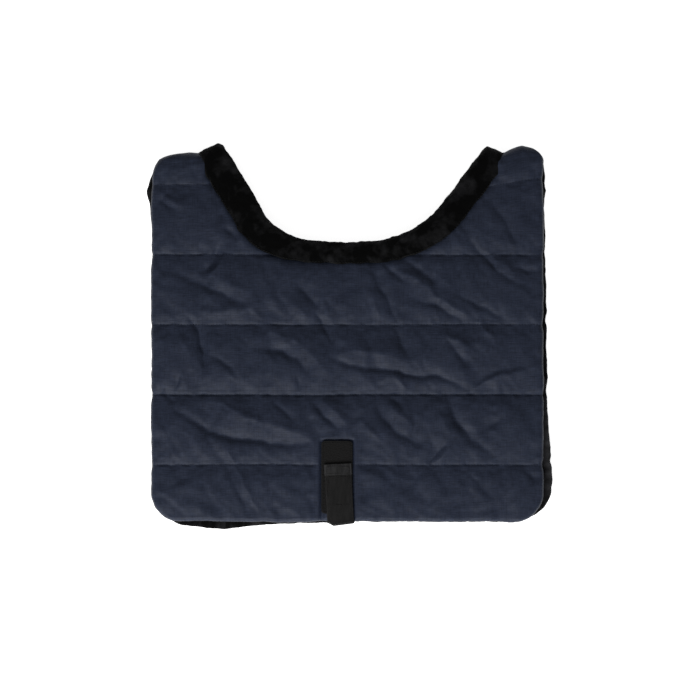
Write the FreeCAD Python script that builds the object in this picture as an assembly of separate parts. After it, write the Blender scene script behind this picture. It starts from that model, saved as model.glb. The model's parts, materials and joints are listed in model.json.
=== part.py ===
"""Chest bib for a turnout rug: a quilted, plush-lined pull-over bib, folded in half at the shoulders.

The bib lies folded on its back, with the neck opening towards +Y and the front panel up.
X runs across the chest, Y from the hem up to the shoulder fold, and Z through the thickness.
The origin is the middle of the bib's outer box in X and Y, on the surface that it lies on.
Both panels are one quilted sandwich in the real bib, which runs on over the shoulders. Here the
sandwich is parted at the shoulder fold, where the front panel turns over the back panel.
All sizes are in millimetres and all angles in degrees.
"""

import FreeCAD
import Part

import math
import os

V = FreeCAD.Vector

# ---- the panels, seen from above ----
PANEL_WIDTH = 554.0
PANEL_DROP = 521.5          # from the crest of the shoulder fold to the hem
HEM_CORNER_R = 50.0
SHOULDER_CORNER_R = 35.0
EDGE_ROUND_R = 9.0          # the shell turns down over the wadding at the hem and the sides
QUILT_PITCH = 99.0          # a row of quilting lies over the fold, so the first seam is half a pitch below it
QUILT_SEAMS = 5
ROW_FLAT = 37.0             # the flat middle of each quilted row
QUILT_DEPTH = 5.5           # how far a seam pulls the shell in

# ---- the neck opening, at the plush binding's inner edge ----
NECK_HALF_WIDTH = 182.0     # at the crest of the fold
NECK_DEPTH = 130.5          # from the crest down to the lowest point
NECK_SLOPE = 56.0           # of the straight sides, from the X axis
NECK_BASE_R = 380.0         # the flat curve at the bottom
NECK_BASE_TURN = 8.0        # how far the flat curve turns on each side of the middle
BINDING_WIDTH = 36.0
BINDING_WALL = 7.0          # plush between the neck edge and the quilt's bound edge
BINDING_INSET_Z = 0.6       # the binding is this much thinner than the panel on each face
BINDING_ROUND_R = 4.0
TONGUE_T = 4.0              # the quilt's edge, squeezed flat inside the binding
TONGUE_PLAY = 0.2

# ---- layers of one panel, from the lining's pile out to the shell ----
PILE_GAP = 1.0              # between the two linings of the folded bib
LINING_T = 5.0
WADDING_T = 10.2            # at the middle of a row
SHELL_T = 0.8
LAYER_PLAY = 0.2
LINING_INSET = 0.5
THREAD_W = 0.9
THREAD_T = 0.6
THREAD_LIFT = 0.2           # keeps the flat thread clear of the valley's rising sides
THREAD_END = 3.0            # the quilting thread stops this far inside the panel's side

# ---- the closure strap: 40 mm webbing round the front hem ----
STRAP_WIDTH = 40.0
STRAP_X = -14.0
STRAP_T = 1.8
STRAP_REACH = 10.0          # how far the strap stands out past the hem
STRAP_END_DROP = 440.0      # from the crest down to the strap's free end
STRAP_ANCHOR_LENGTH = 55.0  # sewn to the lining side
FOLD_PIN_R = 0.95           # half the thickness of the webbing where it folds
FOLD_PLAY = 0.35
LOOP_TAPE_WIDTH = 43.0
LOOP_TAPE_TOP_DROP = 409.0
LOOP_TAPE_END = 9.5         # the loop tape stops this far inside the hem
LOOP_TAPE_CORNER_R = 4.0
TAPE_T = 1.6
TAPE_PLAY = 0.4             # between the loop tape and the hook tape
PULL_TAB_LENGTH = 16.0
HOOK_TAPE_WIDTH = 38.0
HOOK_TAPE_END = 20.0        # the hook tape stops this far inside the hem
STITCH_INSET = 3.0

# ---- worked out from the sizes above ----
HALF_WIDTH = PANEL_WIDTH / 2
CREST_Y = (PANEL_DROP + STRAP_REACH) / 2
HEM_Y = CREST_Y - PANEL_DROP
PANEL_T = LINING_T + WADDING_T + SHELL_T
MID_Z = PANEL_T + PILE_GAP / 2
LINING_Z = MID_Z + PILE_GAP / 2
QUILT_Z = LINING_Z + LINING_T
TOP_Z = LINING_Z + PANEL_T
FOLD_Y = CREST_Y - MID_Z    # the panels stop here, and the fold begins
FOLD_R = PANEL_T / 2
FOLD_AXIS_Y = FOLD_Y + FOLD_R + PILE_GAP / 2
SKY = 60.0                  # more than the whole thickness
BEYOND = 60.0               # more than the fold's height


def seam_drops():
    """How far below the crest each quilting seam lies."""
    return [QUILT_PITCH * (n + 0.5) for n in range(QUILT_SEAMS)]


def wire_of(points_and_arcs):
    return Part.Wire(Part.__sortEdges__([piece.toShape() for piece in points_and_arcs]))


def line(a, b):
    return Part.LineSegment(a, b)


def arc_about(centre, radius, start, middle, end):
    """An arc in XY about centre, through three directions given as angles."""
    angles = [math.radians(angle) for angle in (start, middle, end)]
    return Part.Arc(*[centre + V(math.cos(angle), math.sin(angle), 0) * radius for angle in angles])


def panel_outline(inset):
    """The panel as a rounded rectangle from the hem to the crest, drawn inside the edge by inset."""
    x, top, base = HALF_WIDTH - inset, CREST_Y - inset, HEM_Y + inset
    r_top, r_base = SHOULDER_CORNER_R - inset, HEM_CORNER_R - inset
    return Part.Face(
        wire_of(
            [
                line(V(-x + r_base, base, 0), V(x - r_base, base, 0)),
                arc_about(V(x - r_base, base + r_base, 0), r_base, -90, -45, 0),
                line(V(x, base + r_base, 0), V(x, top - r_top, 0)),
                arc_about(V(x - r_top, top - r_top, 0), r_top, 0, 45, 90),
                line(V(x - r_top, top, 0), V(-x + r_top, top, 0)),
                arc_about(V(-x + r_top, top - r_top, 0), r_top, 90, 135, 180),
                line(V(-x, top - r_top, 0), V(-x, base + r_base, 0)),
                arc_about(V(-x + r_base, base + r_base, 0), r_base, 180, 225, 270),
            ]
        )
    )


def neck_corner_radius():
    """The radius that joins the flat base curve to straight sides, which pass the crest at the half width."""
    a, b = math.radians(NECK_BASE_TURN), math.radians(NECK_SLOPE)
    start = V(NECK_BASE_R * math.sin(a), CREST_Y - NECK_DEPTH + NECK_BASE_R * (1 - math.cos(a)), 0)
    normal = V(-math.sin(b), math.cos(b), 0)
    gap = normal.dot(start - V(NECK_HALF_WIDTH, CREST_Y, 0))
    per_radius = normal.dot(V(math.sin(b) - math.sin(a), math.cos(a) - math.cos(b), 0))
    return -gap / per_radius


NECK_CORNER_R = neck_corner_radius()


def neck_opening(grow):
    """The space of the neck opening, open past the crest, with its edge moved into the panel by grow."""
    a, b = math.radians(NECK_BASE_TURN), math.radians(NECK_SLOPE)
    base_centre = V(0, CREST_Y - NECK_DEPTH + NECK_BASE_R, 0)
    corner_centre = base_centre + V(math.sin(a), -math.cos(a), 0) * (NECK_BASE_R - NECK_CORNER_R)
    side_start = corner_centre + V(math.sin(b), -math.cos(b), 0) * (NECK_CORNER_R + grow)
    rise = CREST_Y + BEYOND - side_start.y
    side_end = side_start + V(rise / math.tan(b), rise, 0)
    left_centre = V(-corner_centre.x, corner_centre.y, 0)
    bend = (NECK_BASE_TURN + NECK_SLOPE) / 2
    return Part.Face(
        wire_of(
            [
                arc_about(base_centre, NECK_BASE_R + grow, -90 - NECK_BASE_TURN, -90, -90 + NECK_BASE_TURN),
                arc_about(corner_centre, NECK_CORNER_R + grow, -90 + NECK_BASE_TURN, -90 + bend, -90 + NECK_SLOPE),
                line(side_start, side_end),
                line(side_end, V(-side_end.x, side_end.y, 0)),
                line(V(-side_end.x, side_end.y, 0), V(-side_start.x, side_start.y, 0)),
                arc_about(left_centre, NECK_CORNER_R + grow, -90 - NECK_SLOPE, -90 - bend, -90 - NECK_BASE_TURN),
            ]
        )
    )


def slab(face, low, high):
    """A flat face made into a plate from z low to z high."""
    plate = face.copy()
    plate.translate(V(0, 0, low))
    return plate.extrude(V(0, 0, high - low))


def box(x0, x1, y0, y1, z0, z1):
    return Part.makeBox(x1 - x0, y1 - y0, z1 - z0, V(x0, y0, z0))


def below_fold():
    """Everything on the hem side of the fold, to trim the panels with."""
    return box(-PANEL_WIDTH, PANEL_WIDTH, HEM_Y - BEYOND, FOLD_Y, -SKY, SKY)


def quilted_profile(drop):
    """The shell's scalloped side view, lowered by drop, as a face in the plane x = -PANEL_WIDTH."""
    x, top, valley = -PANEL_WIDTH, TOP_Z - drop, TOP_Z - QUILT_DEPTH - drop
    run = (QUILT_PITCH - ROW_FLAT) / 2
    radius = (run * run + QUILT_DEPTH * QUILT_DEPTH) / (2 * QUILT_DEPTH)

    def shoulder(seam_y, side):
        """The arc from the flat of a row down to a seam, on one side of the seam."""
        half_turn = math.asin(run / radius) / 2
        flat_y = seam_y + side * run
        middle = V(x, flat_y - side * radius * math.sin(half_turn), top - radius * (1 - math.cos(half_turn)))
        return Part.Arc(V(x, flat_y, top), middle, V(x, seam_y, valley))

    pieces = []
    last_y = CREST_Y + BEYOND
    for seam_drop in seam_drops():
        seam_y = CREST_Y - seam_drop
        pieces.append(line(V(x, last_y, top), V(x, seam_y + run, top)))
        pieces.append(shoulder(seam_y, 1))
        pieces.append(shoulder(seam_y, -1))
        last_y = seam_y - run
    end_y = HEM_Y - BEYOND
    pieces.append(line(V(x, last_y, top), V(x, end_y, top)))
    pieces.append(line(V(x, end_y, top), V(x, end_y, QUILT_Z)))
    pieces.append(line(V(x, end_y, QUILT_Z), V(x, CREST_Y + BEYOND, QUILT_Z)))
    pieces.append(line(V(x, CREST_Y + BEYOND, QUILT_Z), V(x, CREST_Y + BEYOND, top)))
    return Part.Face(wire_of(pieces))


def quilted_block(inset, neck_grow):
    """The solid quilt between the lining and the shell's outer face, drawn inside it by inset."""
    scallops = quilted_profile(inset).extrude(V(2 * PANEL_WIDTH, 0, 0))
    pillow = slab(panel_outline(inset), QUILT_Z, TOP_Z - inset)
    rim = [edge for edge in pillow.Edges if edge.BoundBox.ZMin > TOP_Z - inset - 0.01]
    pillow = pillow.makeFillet(EDGE_ROUND_R - inset, rim)
    block = pillow.common(scallops)
    block = block.cut(slab(neck_opening(neck_grow), -SKY, SKY))
    return block.common(below_fold())


def shell():
    outer = quilted_block(0, BINDING_WIDTH)
    return outer.cut(quilted_block(SHELL_T, 0))


def wadding():
    """The filling, with the flat tongue of the quilt's edge that runs into the binding."""
    inset = SHELL_T + LAYER_PLAY
    filling = quilted_block(inset, BINDING_WIDTH + LAYER_PLAY)
    tongue = slab(panel_outline(inset), QUILT_Z, QUILT_Z + TONGUE_T)
    tongue = tongue.common(slab(neck_opening(BINDING_WIDTH + 2 * BINDING_WALL), -SKY, SKY))
    tongue = tongue.cut(slab(neck_opening(BINDING_WALL + TONGUE_PLAY), -SKY, SKY))
    return filling.fuse(tongue.common(below_fold())).removeSplitter()


def lining():
    sheet = slab(panel_outline(LINING_INSET), LINING_Z, QUILT_Z)
    sheet = sheet.cut(slab(neck_opening(BINDING_WIDTH + LAYER_PLAY), -SKY, SKY))
    return sheet.common(below_fold())


def neck_binding():
    """The plush strip folded over the neck edge, with the slot that holds the quilt's edge."""
    strip = slab(neck_opening(BINDING_WIDTH), LINING_Z + BINDING_INSET_Z / 2, TOP_Z - BINDING_INSET_Z)
    strip = strip.cut(slab(neck_opening(0), -SKY, SKY)).common(below_fold())
    lip = slab(neck_opening(0.5), -SKY, SKY)

    def along_the_lip(edge):
        ends = [edge.valueAt(at) for at in edge.ParameterRange]
        return edge.BoundBox.ZLength < 0.01 and all(lip.isInside(end, 0.01, True) for end in ends)

    strip = strip.makeFillet(BINDING_ROUND_R, [edge for edge in strip.Edges if along_the_lip(edge)])
    slot = slab(neck_opening(BINDING_WIDTH + 1), QUILT_Z - TONGUE_PLAY, QUILT_Z + TONGUE_T + TONGUE_PLAY)
    return strip.cut(slot.cut(slab(neck_opening(BINDING_WALL), -SKY, SKY)))


def quilt_thread():
    """One lock-stitched thread along each seam's valley, from side to side or up to the binding."""
    field = slab(panel_outline(THREAD_END), -SKY, SKY).cut(slab(neck_opening(BINDING_WIDTH + 1), -SKY, SKY))
    valley = TOP_Z - QUILT_DEPTH
    low = valley + THREAD_LIFT
    runs = []
    for seam_drop in seam_drops():
        y0 = CREST_Y - seam_drop - THREAD_W / 2
        thread = box(-HALF_WIDTH, HALF_WIDTH, y0, y0 + THREAD_W, low, low + THREAD_T)
        runs += thread.common(field).common(below_fold()).Solids
    return Part.makeCompound(runs)


def binding_thread():
    """The seam that holds the binding down, just inside its outer edge."""
    outer = neck_opening(BINDING_WIDTH - 1.5)
    inner = neck_opening(BINDING_WIDTH - 1.5 - THREAD_W)
    base = TOP_Z - BINDING_INSET_Z
    seam = slab(outer, base, base + THREAD_T - 0.1).cut(slab(inner, -SKY, SKY))
    return seam.common(below_fold())


def fold_roll(x_inner, x_outer):
    """The turn of the quilt over one shoulder, round the axis that the front panel swings about."""
    return Part.makeCylinder(FOLD_R, x_outer - x_inner, V(x_inner, FOLD_AXIS_Y, MID_Z), V(1, 0, 0))


def flipped(shape):
    """The same piece on the other panel."""
    return shape.mirror(V(0, 0, MID_Z), V(0, 0, 1))


# ---- the strap's places ----
STRAP_LEFT = STRAP_X - STRAP_WIDTH / 2
STRAP_RIGHT = STRAP_X + STRAP_WIDTH / 2
PIN_Y = HEM_Y - STRAP_REACH + FOLD_PIN_R
ANCHOR_Z = LINING_Z + 0.1
LOW_PIN_Z = ANCHOR_Z + STRAP_T / 2
HOOK_Z = TOP_Z + TAPE_T + TAPE_PLAY
FREE_Z = HOOK_Z + TAPE_T - 0.2
HIGH_PIN_Z = FREE_Z + STRAP_T / 2
STRAP_END_Y = CREST_Y - STRAP_END_DROP
HOOK_END_Y = HEM_Y + HOOK_TAPE_END
HOOK_START_Y = STRAP_END_Y - PULL_TAB_LENGTH - 1.0


def rounded_plate(x_mid, width, y0, y1, z0, z1, corner):
    plate = box(x_mid - width / 2, x_mid + width / 2, y0, y1, z0, z1)
    upright = [edge for edge in plate.Edges if edge.BoundBox.ZLength > (z1 - z0) / 2]
    return plate.makeFillet(corner, upright)


def stitched_frame(x_mid, width, y0, y1, z):
    """A thread sewn all round a rectangle."""
    outer = box(x_mid - width / 2, x_mid + width / 2, y0, y1, z, z + THREAD_T / 2)
    w = THREAD_W
    return outer.cut(box(x_mid - width / 2 + w, x_mid + width / 2 - w, y0 + w, y1 - w, z - 1, z + SKY))


def strap_anchor():
    """The strap's sewn end, flush in the lining's pile and out to the lower fold."""
    start = PIN_Y + FOLD_PIN_R + FOLD_PLAY
    return box(STRAP_LEFT, STRAP_RIGHT, start, HEM_Y + STRAP_ANCHOR_LENGTH, ANCHOR_Z, ANCHOR_Z + STRAP_T)


def anchor_recess():
    margin = 1.0
    top = HEM_Y + STRAP_ANCHOR_LENGTH + margin
    return box(STRAP_LEFT - margin, STRAP_RIGHT + margin, HEM_Y - margin, top, 0, ANCHOR_Z + STRAP_T + THREAD_T)


def anchor_thread():
    """The box stitch that holds the strap's end, on the side away from the lining's pile."""
    low = ANCHOR_Z + STRAP_T
    y0, y1 = HEM_Y + 2 * STITCH_INSET, HEM_Y + STRAP_ANCHOR_LENGTH - STITCH_INSET
    return stitched_frame(STRAP_X, STRAP_WIDTH - 2 * STITCH_INSET, y0, y1, low)


def strap_turn():
    """The strap where it stands past the hem, between its lower and its upper fold."""
    web = box(STRAP_LEFT, STRAP_RIGHT, PIN_Y - FOLD_PIN_R, PIN_Y + FOLD_PIN_R, LOW_PIN_Z, HIGH_PIN_Z)
    along_x = V(1, 0, 0)
    for z in (LOW_PIN_Z, HIGH_PIN_Z):
        web = web.fuse(Part.makeCylinder(FOLD_PIN_R, STRAP_WIDTH, V(STRAP_LEFT, PIN_Y, z), along_x))
    return web.removeSplitter()


def strap_free():
    start = PIN_Y + FOLD_PIN_R + FOLD_PLAY
    return box(STRAP_LEFT, STRAP_RIGHT, start, STRAP_END_Y, FREE_Z, FREE_Z + STRAP_T)


def pull_tab():
    """The strap's end turned back on itself, as the grip to peel it by."""
    low = FREE_Z + STRAP_T
    return box(STRAP_LEFT, STRAP_RIGHT, STRAP_END_Y - PULL_TAB_LENGTH, STRAP_END_Y, low, low + STRAP_T)


def pull_tab_thread():
    """Two rows of stitching across the pull tab."""
    low = FREE_Z + 2 * STRAP_T
    left, right = STRAP_LEFT + STITCH_INSET, STRAP_RIGHT - STITCH_INSET
    starts = [STRAP_END_Y - STITCH_INSET - THREAD_W, STRAP_END_Y - PULL_TAB_LENGTH + STITCH_INSET]
    return Part.makeCompound([box(left, right, y, y + THREAD_W, low, low + THREAD_T / 2) for y in starts])


def hook_tape():
    return rounded_plate(STRAP_X, HOOK_TAPE_WIDTH, HOOK_END_Y, HOOK_START_Y, HOOK_Z, FREE_Z, 2.0)


def hook_tape_thread():
    y0, y1 = HOOK_END_Y + STITCH_INSET, HOOK_START_Y - STITCH_INSET
    return stitched_frame(STRAP_X, HOOK_TAPE_WIDTH - 2 * STITCH_INSET, y0, y1, FREE_Z + STRAP_T)


def loop_tape():
    y0, y1 = HEM_Y + LOOP_TAPE_END, CREST_Y - LOOP_TAPE_TOP_DROP
    return rounded_plate(STRAP_X, LOOP_TAPE_WIDTH, y0, y1, TOP_Z, TOP_Z + TAPE_T, LOOP_TAPE_CORNER_R)


def loop_tape_thread():
    y0, y1 = HEM_Y + LOOP_TAPE_END + STITCH_INSET, CREST_Y - LOOP_TAPE_TOP_DROP - STITCH_INSET
    return stitched_frame(STRAP_X, LOOP_TAPE_WIDTH - 2 * STITCH_INSET, y0, y1, TOP_Z + TAPE_T)


def shoulder_rolls():
    """The quilt's and the binding's turns over each shoulder, as four short rolls."""
    neck_x = NECK_HALF_WIDTH - (CREST_Y - FOLD_AXIS_Y) / math.tan(math.radians(NECK_SLOPE))
    seam_x = neck_x + BINDING_WIDTH / math.sin(math.radians(NECK_SLOPE))
    side_x = HALF_WIDTH - SHOULDER_CORNER_R / 2
    return {
        "left_binding_fold": fold_roll(-seam_x + LAYER_PLAY, -neck_x),
        "right_binding_fold": fold_roll(neck_x, seam_x - LAYER_PLAY),
        "left_shoulder_fold": fold_roll(-side_x, -seam_x - LAYER_PLAY),
        "right_shoulder_fold": fold_roll(seam_x + LAYER_PLAY, side_x),
    }


def panel_pieces():
    """Each layer of the front panel, and the same layer turned over for the back panel."""
    layers = {
        "shell": shell(),
        "wadding": wadding(),
        "lining": lining(),
        "neck_binding": neck_binding(),
        "quilt_thread": quilt_thread(),
        "binding_thread": binding_thread(),
    }
    pieces = {"back_" + name: flipped(shape) for name, shape in layers.items()}
    layers["lining"] = layers["lining"].cut(anchor_recess())
    pieces.update({"front_" + name: shape for name, shape in layers.items()})
    return pieces


def strap_pieces():
    return {
        "strap_anchor": strap_anchor(),
        "strap_anchor_thread": anchor_thread(),
        "strap_turn": strap_turn(),
        "strap_free": strap_free(),
        "pull_tab": pull_tab(),
        "pull_tab_thread": pull_tab_thread(),
        "hook_tape": hook_tape(),
        "hook_tape_thread": hook_tape_thread(),
        "loop_tape": loop_tape(),
        "loop_tape_thread": loop_tape_thread(),
    }


def main():
    os.makedirs("parts", exist_ok=True)
    pieces = {**panel_pieces(), **shoulder_rolls(), **strap_pieces()}
    for name, shape in pieces.items():
        if not shape.isValid() or not shape.Solids:
            raise ValueError(name + " is not a valid solid")
        solids = shape.Solids
        body = solids[0] if len(solids) == 1 else Part.makeCompound(solids)
        body.exportStep("parts/" + name + ".step")
        size = body.BoundBox
        print(f"{name}: {len(solids)} solid(s), {body.Volume / 1000:.2f} cm3, z {size.ZMin:.2f} to {size.ZMax:.2f}")
    print(f"fold axis y {FOLD_AXIS_Y:.3f} z {MID_Z:.3f}, strap folds y {PIN_Y:.3f} z {LOW_PIN_Z:.3f} and {HIGH_PIN_Z:.3f}")
    print(f"crest y {CREST_Y:.3f}, hem y {HEM_Y:.3f}, top z {TOP_Z:.3f}, neck corner radius {NECK_CORNER_R:.1f}")


main()
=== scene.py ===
"""Looks for the quilted bib that is worn with a turnout rug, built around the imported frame.

The bib is one quilted sandwich folded over the shoulders, so most pieces are drawn on the cloth itself,
in three cloth coordinates: x across the bib, q down from the crest of the shoulder fold (positive on the
front panel, negative on the back panel), and h out from the lining's pile towards the shell.
place() turns them into the frame's own X, Y and Z. All lengths are in metres.
"""

import json
import math

import bpy
import numpy as np
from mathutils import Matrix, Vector


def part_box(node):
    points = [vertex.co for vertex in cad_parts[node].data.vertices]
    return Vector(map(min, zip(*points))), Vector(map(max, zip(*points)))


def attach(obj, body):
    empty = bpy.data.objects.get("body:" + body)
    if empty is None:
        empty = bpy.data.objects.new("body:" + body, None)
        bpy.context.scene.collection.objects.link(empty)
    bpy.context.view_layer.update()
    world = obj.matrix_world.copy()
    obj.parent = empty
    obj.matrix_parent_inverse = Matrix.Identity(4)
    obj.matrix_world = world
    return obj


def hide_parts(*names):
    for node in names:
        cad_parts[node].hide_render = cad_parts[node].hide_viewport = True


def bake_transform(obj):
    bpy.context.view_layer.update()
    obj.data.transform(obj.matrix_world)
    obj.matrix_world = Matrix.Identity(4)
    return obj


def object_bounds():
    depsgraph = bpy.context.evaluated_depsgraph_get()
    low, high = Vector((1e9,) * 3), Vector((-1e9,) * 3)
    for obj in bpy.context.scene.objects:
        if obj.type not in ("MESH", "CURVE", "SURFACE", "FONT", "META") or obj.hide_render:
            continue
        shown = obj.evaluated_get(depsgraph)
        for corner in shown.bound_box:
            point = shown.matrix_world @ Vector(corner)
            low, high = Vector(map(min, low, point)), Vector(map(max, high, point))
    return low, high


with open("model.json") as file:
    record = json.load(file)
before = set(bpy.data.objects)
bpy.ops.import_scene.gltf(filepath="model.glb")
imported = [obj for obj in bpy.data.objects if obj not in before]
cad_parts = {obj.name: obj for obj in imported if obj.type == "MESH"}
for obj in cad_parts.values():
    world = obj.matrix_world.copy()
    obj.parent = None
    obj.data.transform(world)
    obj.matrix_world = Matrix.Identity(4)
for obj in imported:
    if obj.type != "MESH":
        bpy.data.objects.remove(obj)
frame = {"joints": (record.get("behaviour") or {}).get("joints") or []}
cad_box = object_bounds()

MM = 0.001
UP = np.array([0.0, 0.0, 1.0])
SIDES = (("left", -1), ("right", 1))
PANELS = (("front", 1), ("back", -1))

# ---- the cloth, from the frame ----
SHELL_LOW, SHELL_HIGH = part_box("front_shell")
LINING_LOW, LINING_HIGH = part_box("front_lining")
HALF_WIDTH = SHELL_HIGH.x
FOLD_Y = SHELL_HIGH.y       # where the flat panels end and the shoulder fold starts
MID_Z = (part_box("back_shell")[0].z + SHELL_HIGH.z) / 2
PILE = LINING_LOW.z - MID_Z
THICK = SHELL_HIGH.z - LINING_LOW.z
LINING_T = LINING_HIGH.z - LINING_LOW.z
FOLD_R = PILE + THICK       # the shoulder fold's outer radius
CREST_Y = FOLD_Y + FOLD_R
HINGE_R = frame["joints"][0]["pos_m"][1] - FOLD_Y

# ---- the quilt ----
HEM_Q = CREST_Y - SHELL_LOW.y + 7.5 * MM    # the soft hem lies a little past the CAD's
FIRST_SEAM = 53 * MM
SEAM_PITCH = 98.8 * MM
SEAMS = [FIRST_SEAM + n * SEAM_PITCH for n in range(5)]
CROWN_H = THICK - 0.6 * MM
SEAM_H = 13.3 * MM
# How much higher each seam lies than SEAM_H, and how deep its stitches pull it into the quilt.
SEAM_RISE = np.array([1.5, 0.0, 0.0, -1.6, 0.4]) * MM
SEAM_PULL = np.array([0.9, 1.15, 1.2, 2.1, 1.3]) * MM
HEM_CORNER_R = 41 * MM
CREST_CORNER_R = {-1: 47 * MM, 1: 23 * MM}
# How far the crest stands above (or, if negative, hangs below) its level across the bib, x and height.
CREST_X = [x * MM for x in (-277, -236, -210, -184, -150, 150, 188, 198, 219, 247, 277)]
CREST_LIFT = [y * MM for y in (-5, -5.5, -4, 8, 0, 0, -2, 3, -4.5, 4, 1)]
CREST_REACH = 48 * MM       # how far down the panels that shows
BACK_SKEW = 0.020           # the back panel has slipped round to the right under the front one
SKEW_START = 100 * MM       # the skew sets in over this length below the fold
SHELL_EDGE_H = 4.6 * MM     # where the shell meets the lining at the panel's edge
SHELL_ROLL_R = 4.8 * MM     # how wide the shell's edge rolls over, and the lining's
LINING_ROLL_R = 5 * MM
CREASE_GAIN = 1.33
CRUMPLE_GAIN = 0.6
CRUMPLE_MOST = 2.6 * MM
CLOTH_SPARE = -0.05         # the simulated shell is cut this much larger than what it covers
SIM_FRAMES = 22

# ---- the neck ----
NECK_HALF_WIDTH = 183 * MM
NECK_DEPTH = 134 * MM
NECK_SHIFT = 8 * MM         # the neck's top lies this far to the right, and its bottom to the left
NECK_SLOPE = math.radians(56)
NECK_BASE_R = 380 * MM
NECK_BASE_TURN = math.radians(8)
BINDING_NARROW = 30 * MM    # at the bottom of the neck
BINDING_WIDE = {-1: 43 * MM, 1: 37 * MM}    # up the left and the right side
BINDING_LAP = 13 * MM       # how far the shell runs on under the binding
ROLL_SQUARE = 0.72          # the binding's roll is squarer than an ellipse, whose power is 1

# ---- the strap and the tapes ----
STRAP_W = 37.5 * MM
STRAP_T = 1.25 * MM
TAPE_T = 1.2 * MM
HOOK_T = 1.0 * MM
TAPE_LOW, TAPE_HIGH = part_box("loop_tape")
FREE_LOW, FREE_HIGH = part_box("strap_free")
HOOK_LOW, HOOK_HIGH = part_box("hook_tape")
TAPE_X = (TAPE_LOW.x + TAPE_HIGH.x) / 2 - 1.0 * MM
TAPE_TOP_Q = CREST_Y - TAPE_HIGH.y + 5.5 * MM
TAPE_BED_H = 15.6 * MM      # the flat top of the quilt under the loop tape
TAPE_W = TAPE_HIGH.x - TAPE_LOW.x + 1 * MM
TAPE_MOAT = 4.6 * MM        # how deep the quilt sinks beside the tape's sewn edge
STRAP_TOP_X = (FREE_LOW.x + FREE_HIGH.x) / 2
STRAP_LEAN = 0.052          # the strap leans this much to the right on its way down to the hem
FLAT_Z = MID_Z + PILE + TAPE_BED_H
STRAP_END_Y = FREE_HIGH.y - 7.4 * MM
STRAP_TOP_Z = FLAT_Z + TAPE_T + HOOK_T + STRAP_T / 2
STRAP_END_Z = STRAP_TOP_Z - 0.7 * MM        # the free part is pressed down a little at both ends
STRAP_LOW_Z = MID_Z + PILE + 0.3 * MM
BEND_R = 3.4 * MM
BEND_Y = FREE_LOW.y - 0.1 * MM
ANCHOR_END_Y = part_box("strap_anchor")[1].y - 3 * MM
CORNER_LIFT = 5 * MM        # the strap's left corner is drawn up where it goes round the hem
STRIP_EDGE = math.radians(50)               # edges of a strap or tape that turn more than this are crisp

# ---- stitches: pitch and length ----
SEAM_STITCH = (4.2 * MM, 3.1 * MM)
TAPE_STITCH = (3.2 * MM, 2.4 * MM)

# ---- colours ----
NAVY = (0.0150, 0.0195, 0.0345)
PLUSH_BLACK = (0.0024, 0.0024, 0.0026)
WEB_BLACK = (0.0047, 0.0045, 0.0045)
# painted sheen: the strap's folded end is the same webbing, coloured lighter for the shine it shows
SHEEN_LIT_FOLDED_WEB = (0.0140, 0.0140, 0.0145)
TAPE_BLACK = (0.0030, 0.0027, 0.0026)
THREAD_BLACK = (0.004, 0.004, 0.004)

# ---- the studio ----
FLOOR_SIZE = 6.0
FLOOR_GAP = 2.5 * MM        # the soft quilt sinks this far below the CAD's lowest point
FLOOR_GLOW = 0.8
SKY_GLOW = 0.35
SENSOR = 36.0
CAMERA_DISTANCE = 3.0
FRAME_WIDTH = 0.987         # what the camera sees across at the shell's height
CAMERA_AT = (3.5 * MM, -20.5 * MM)

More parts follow.
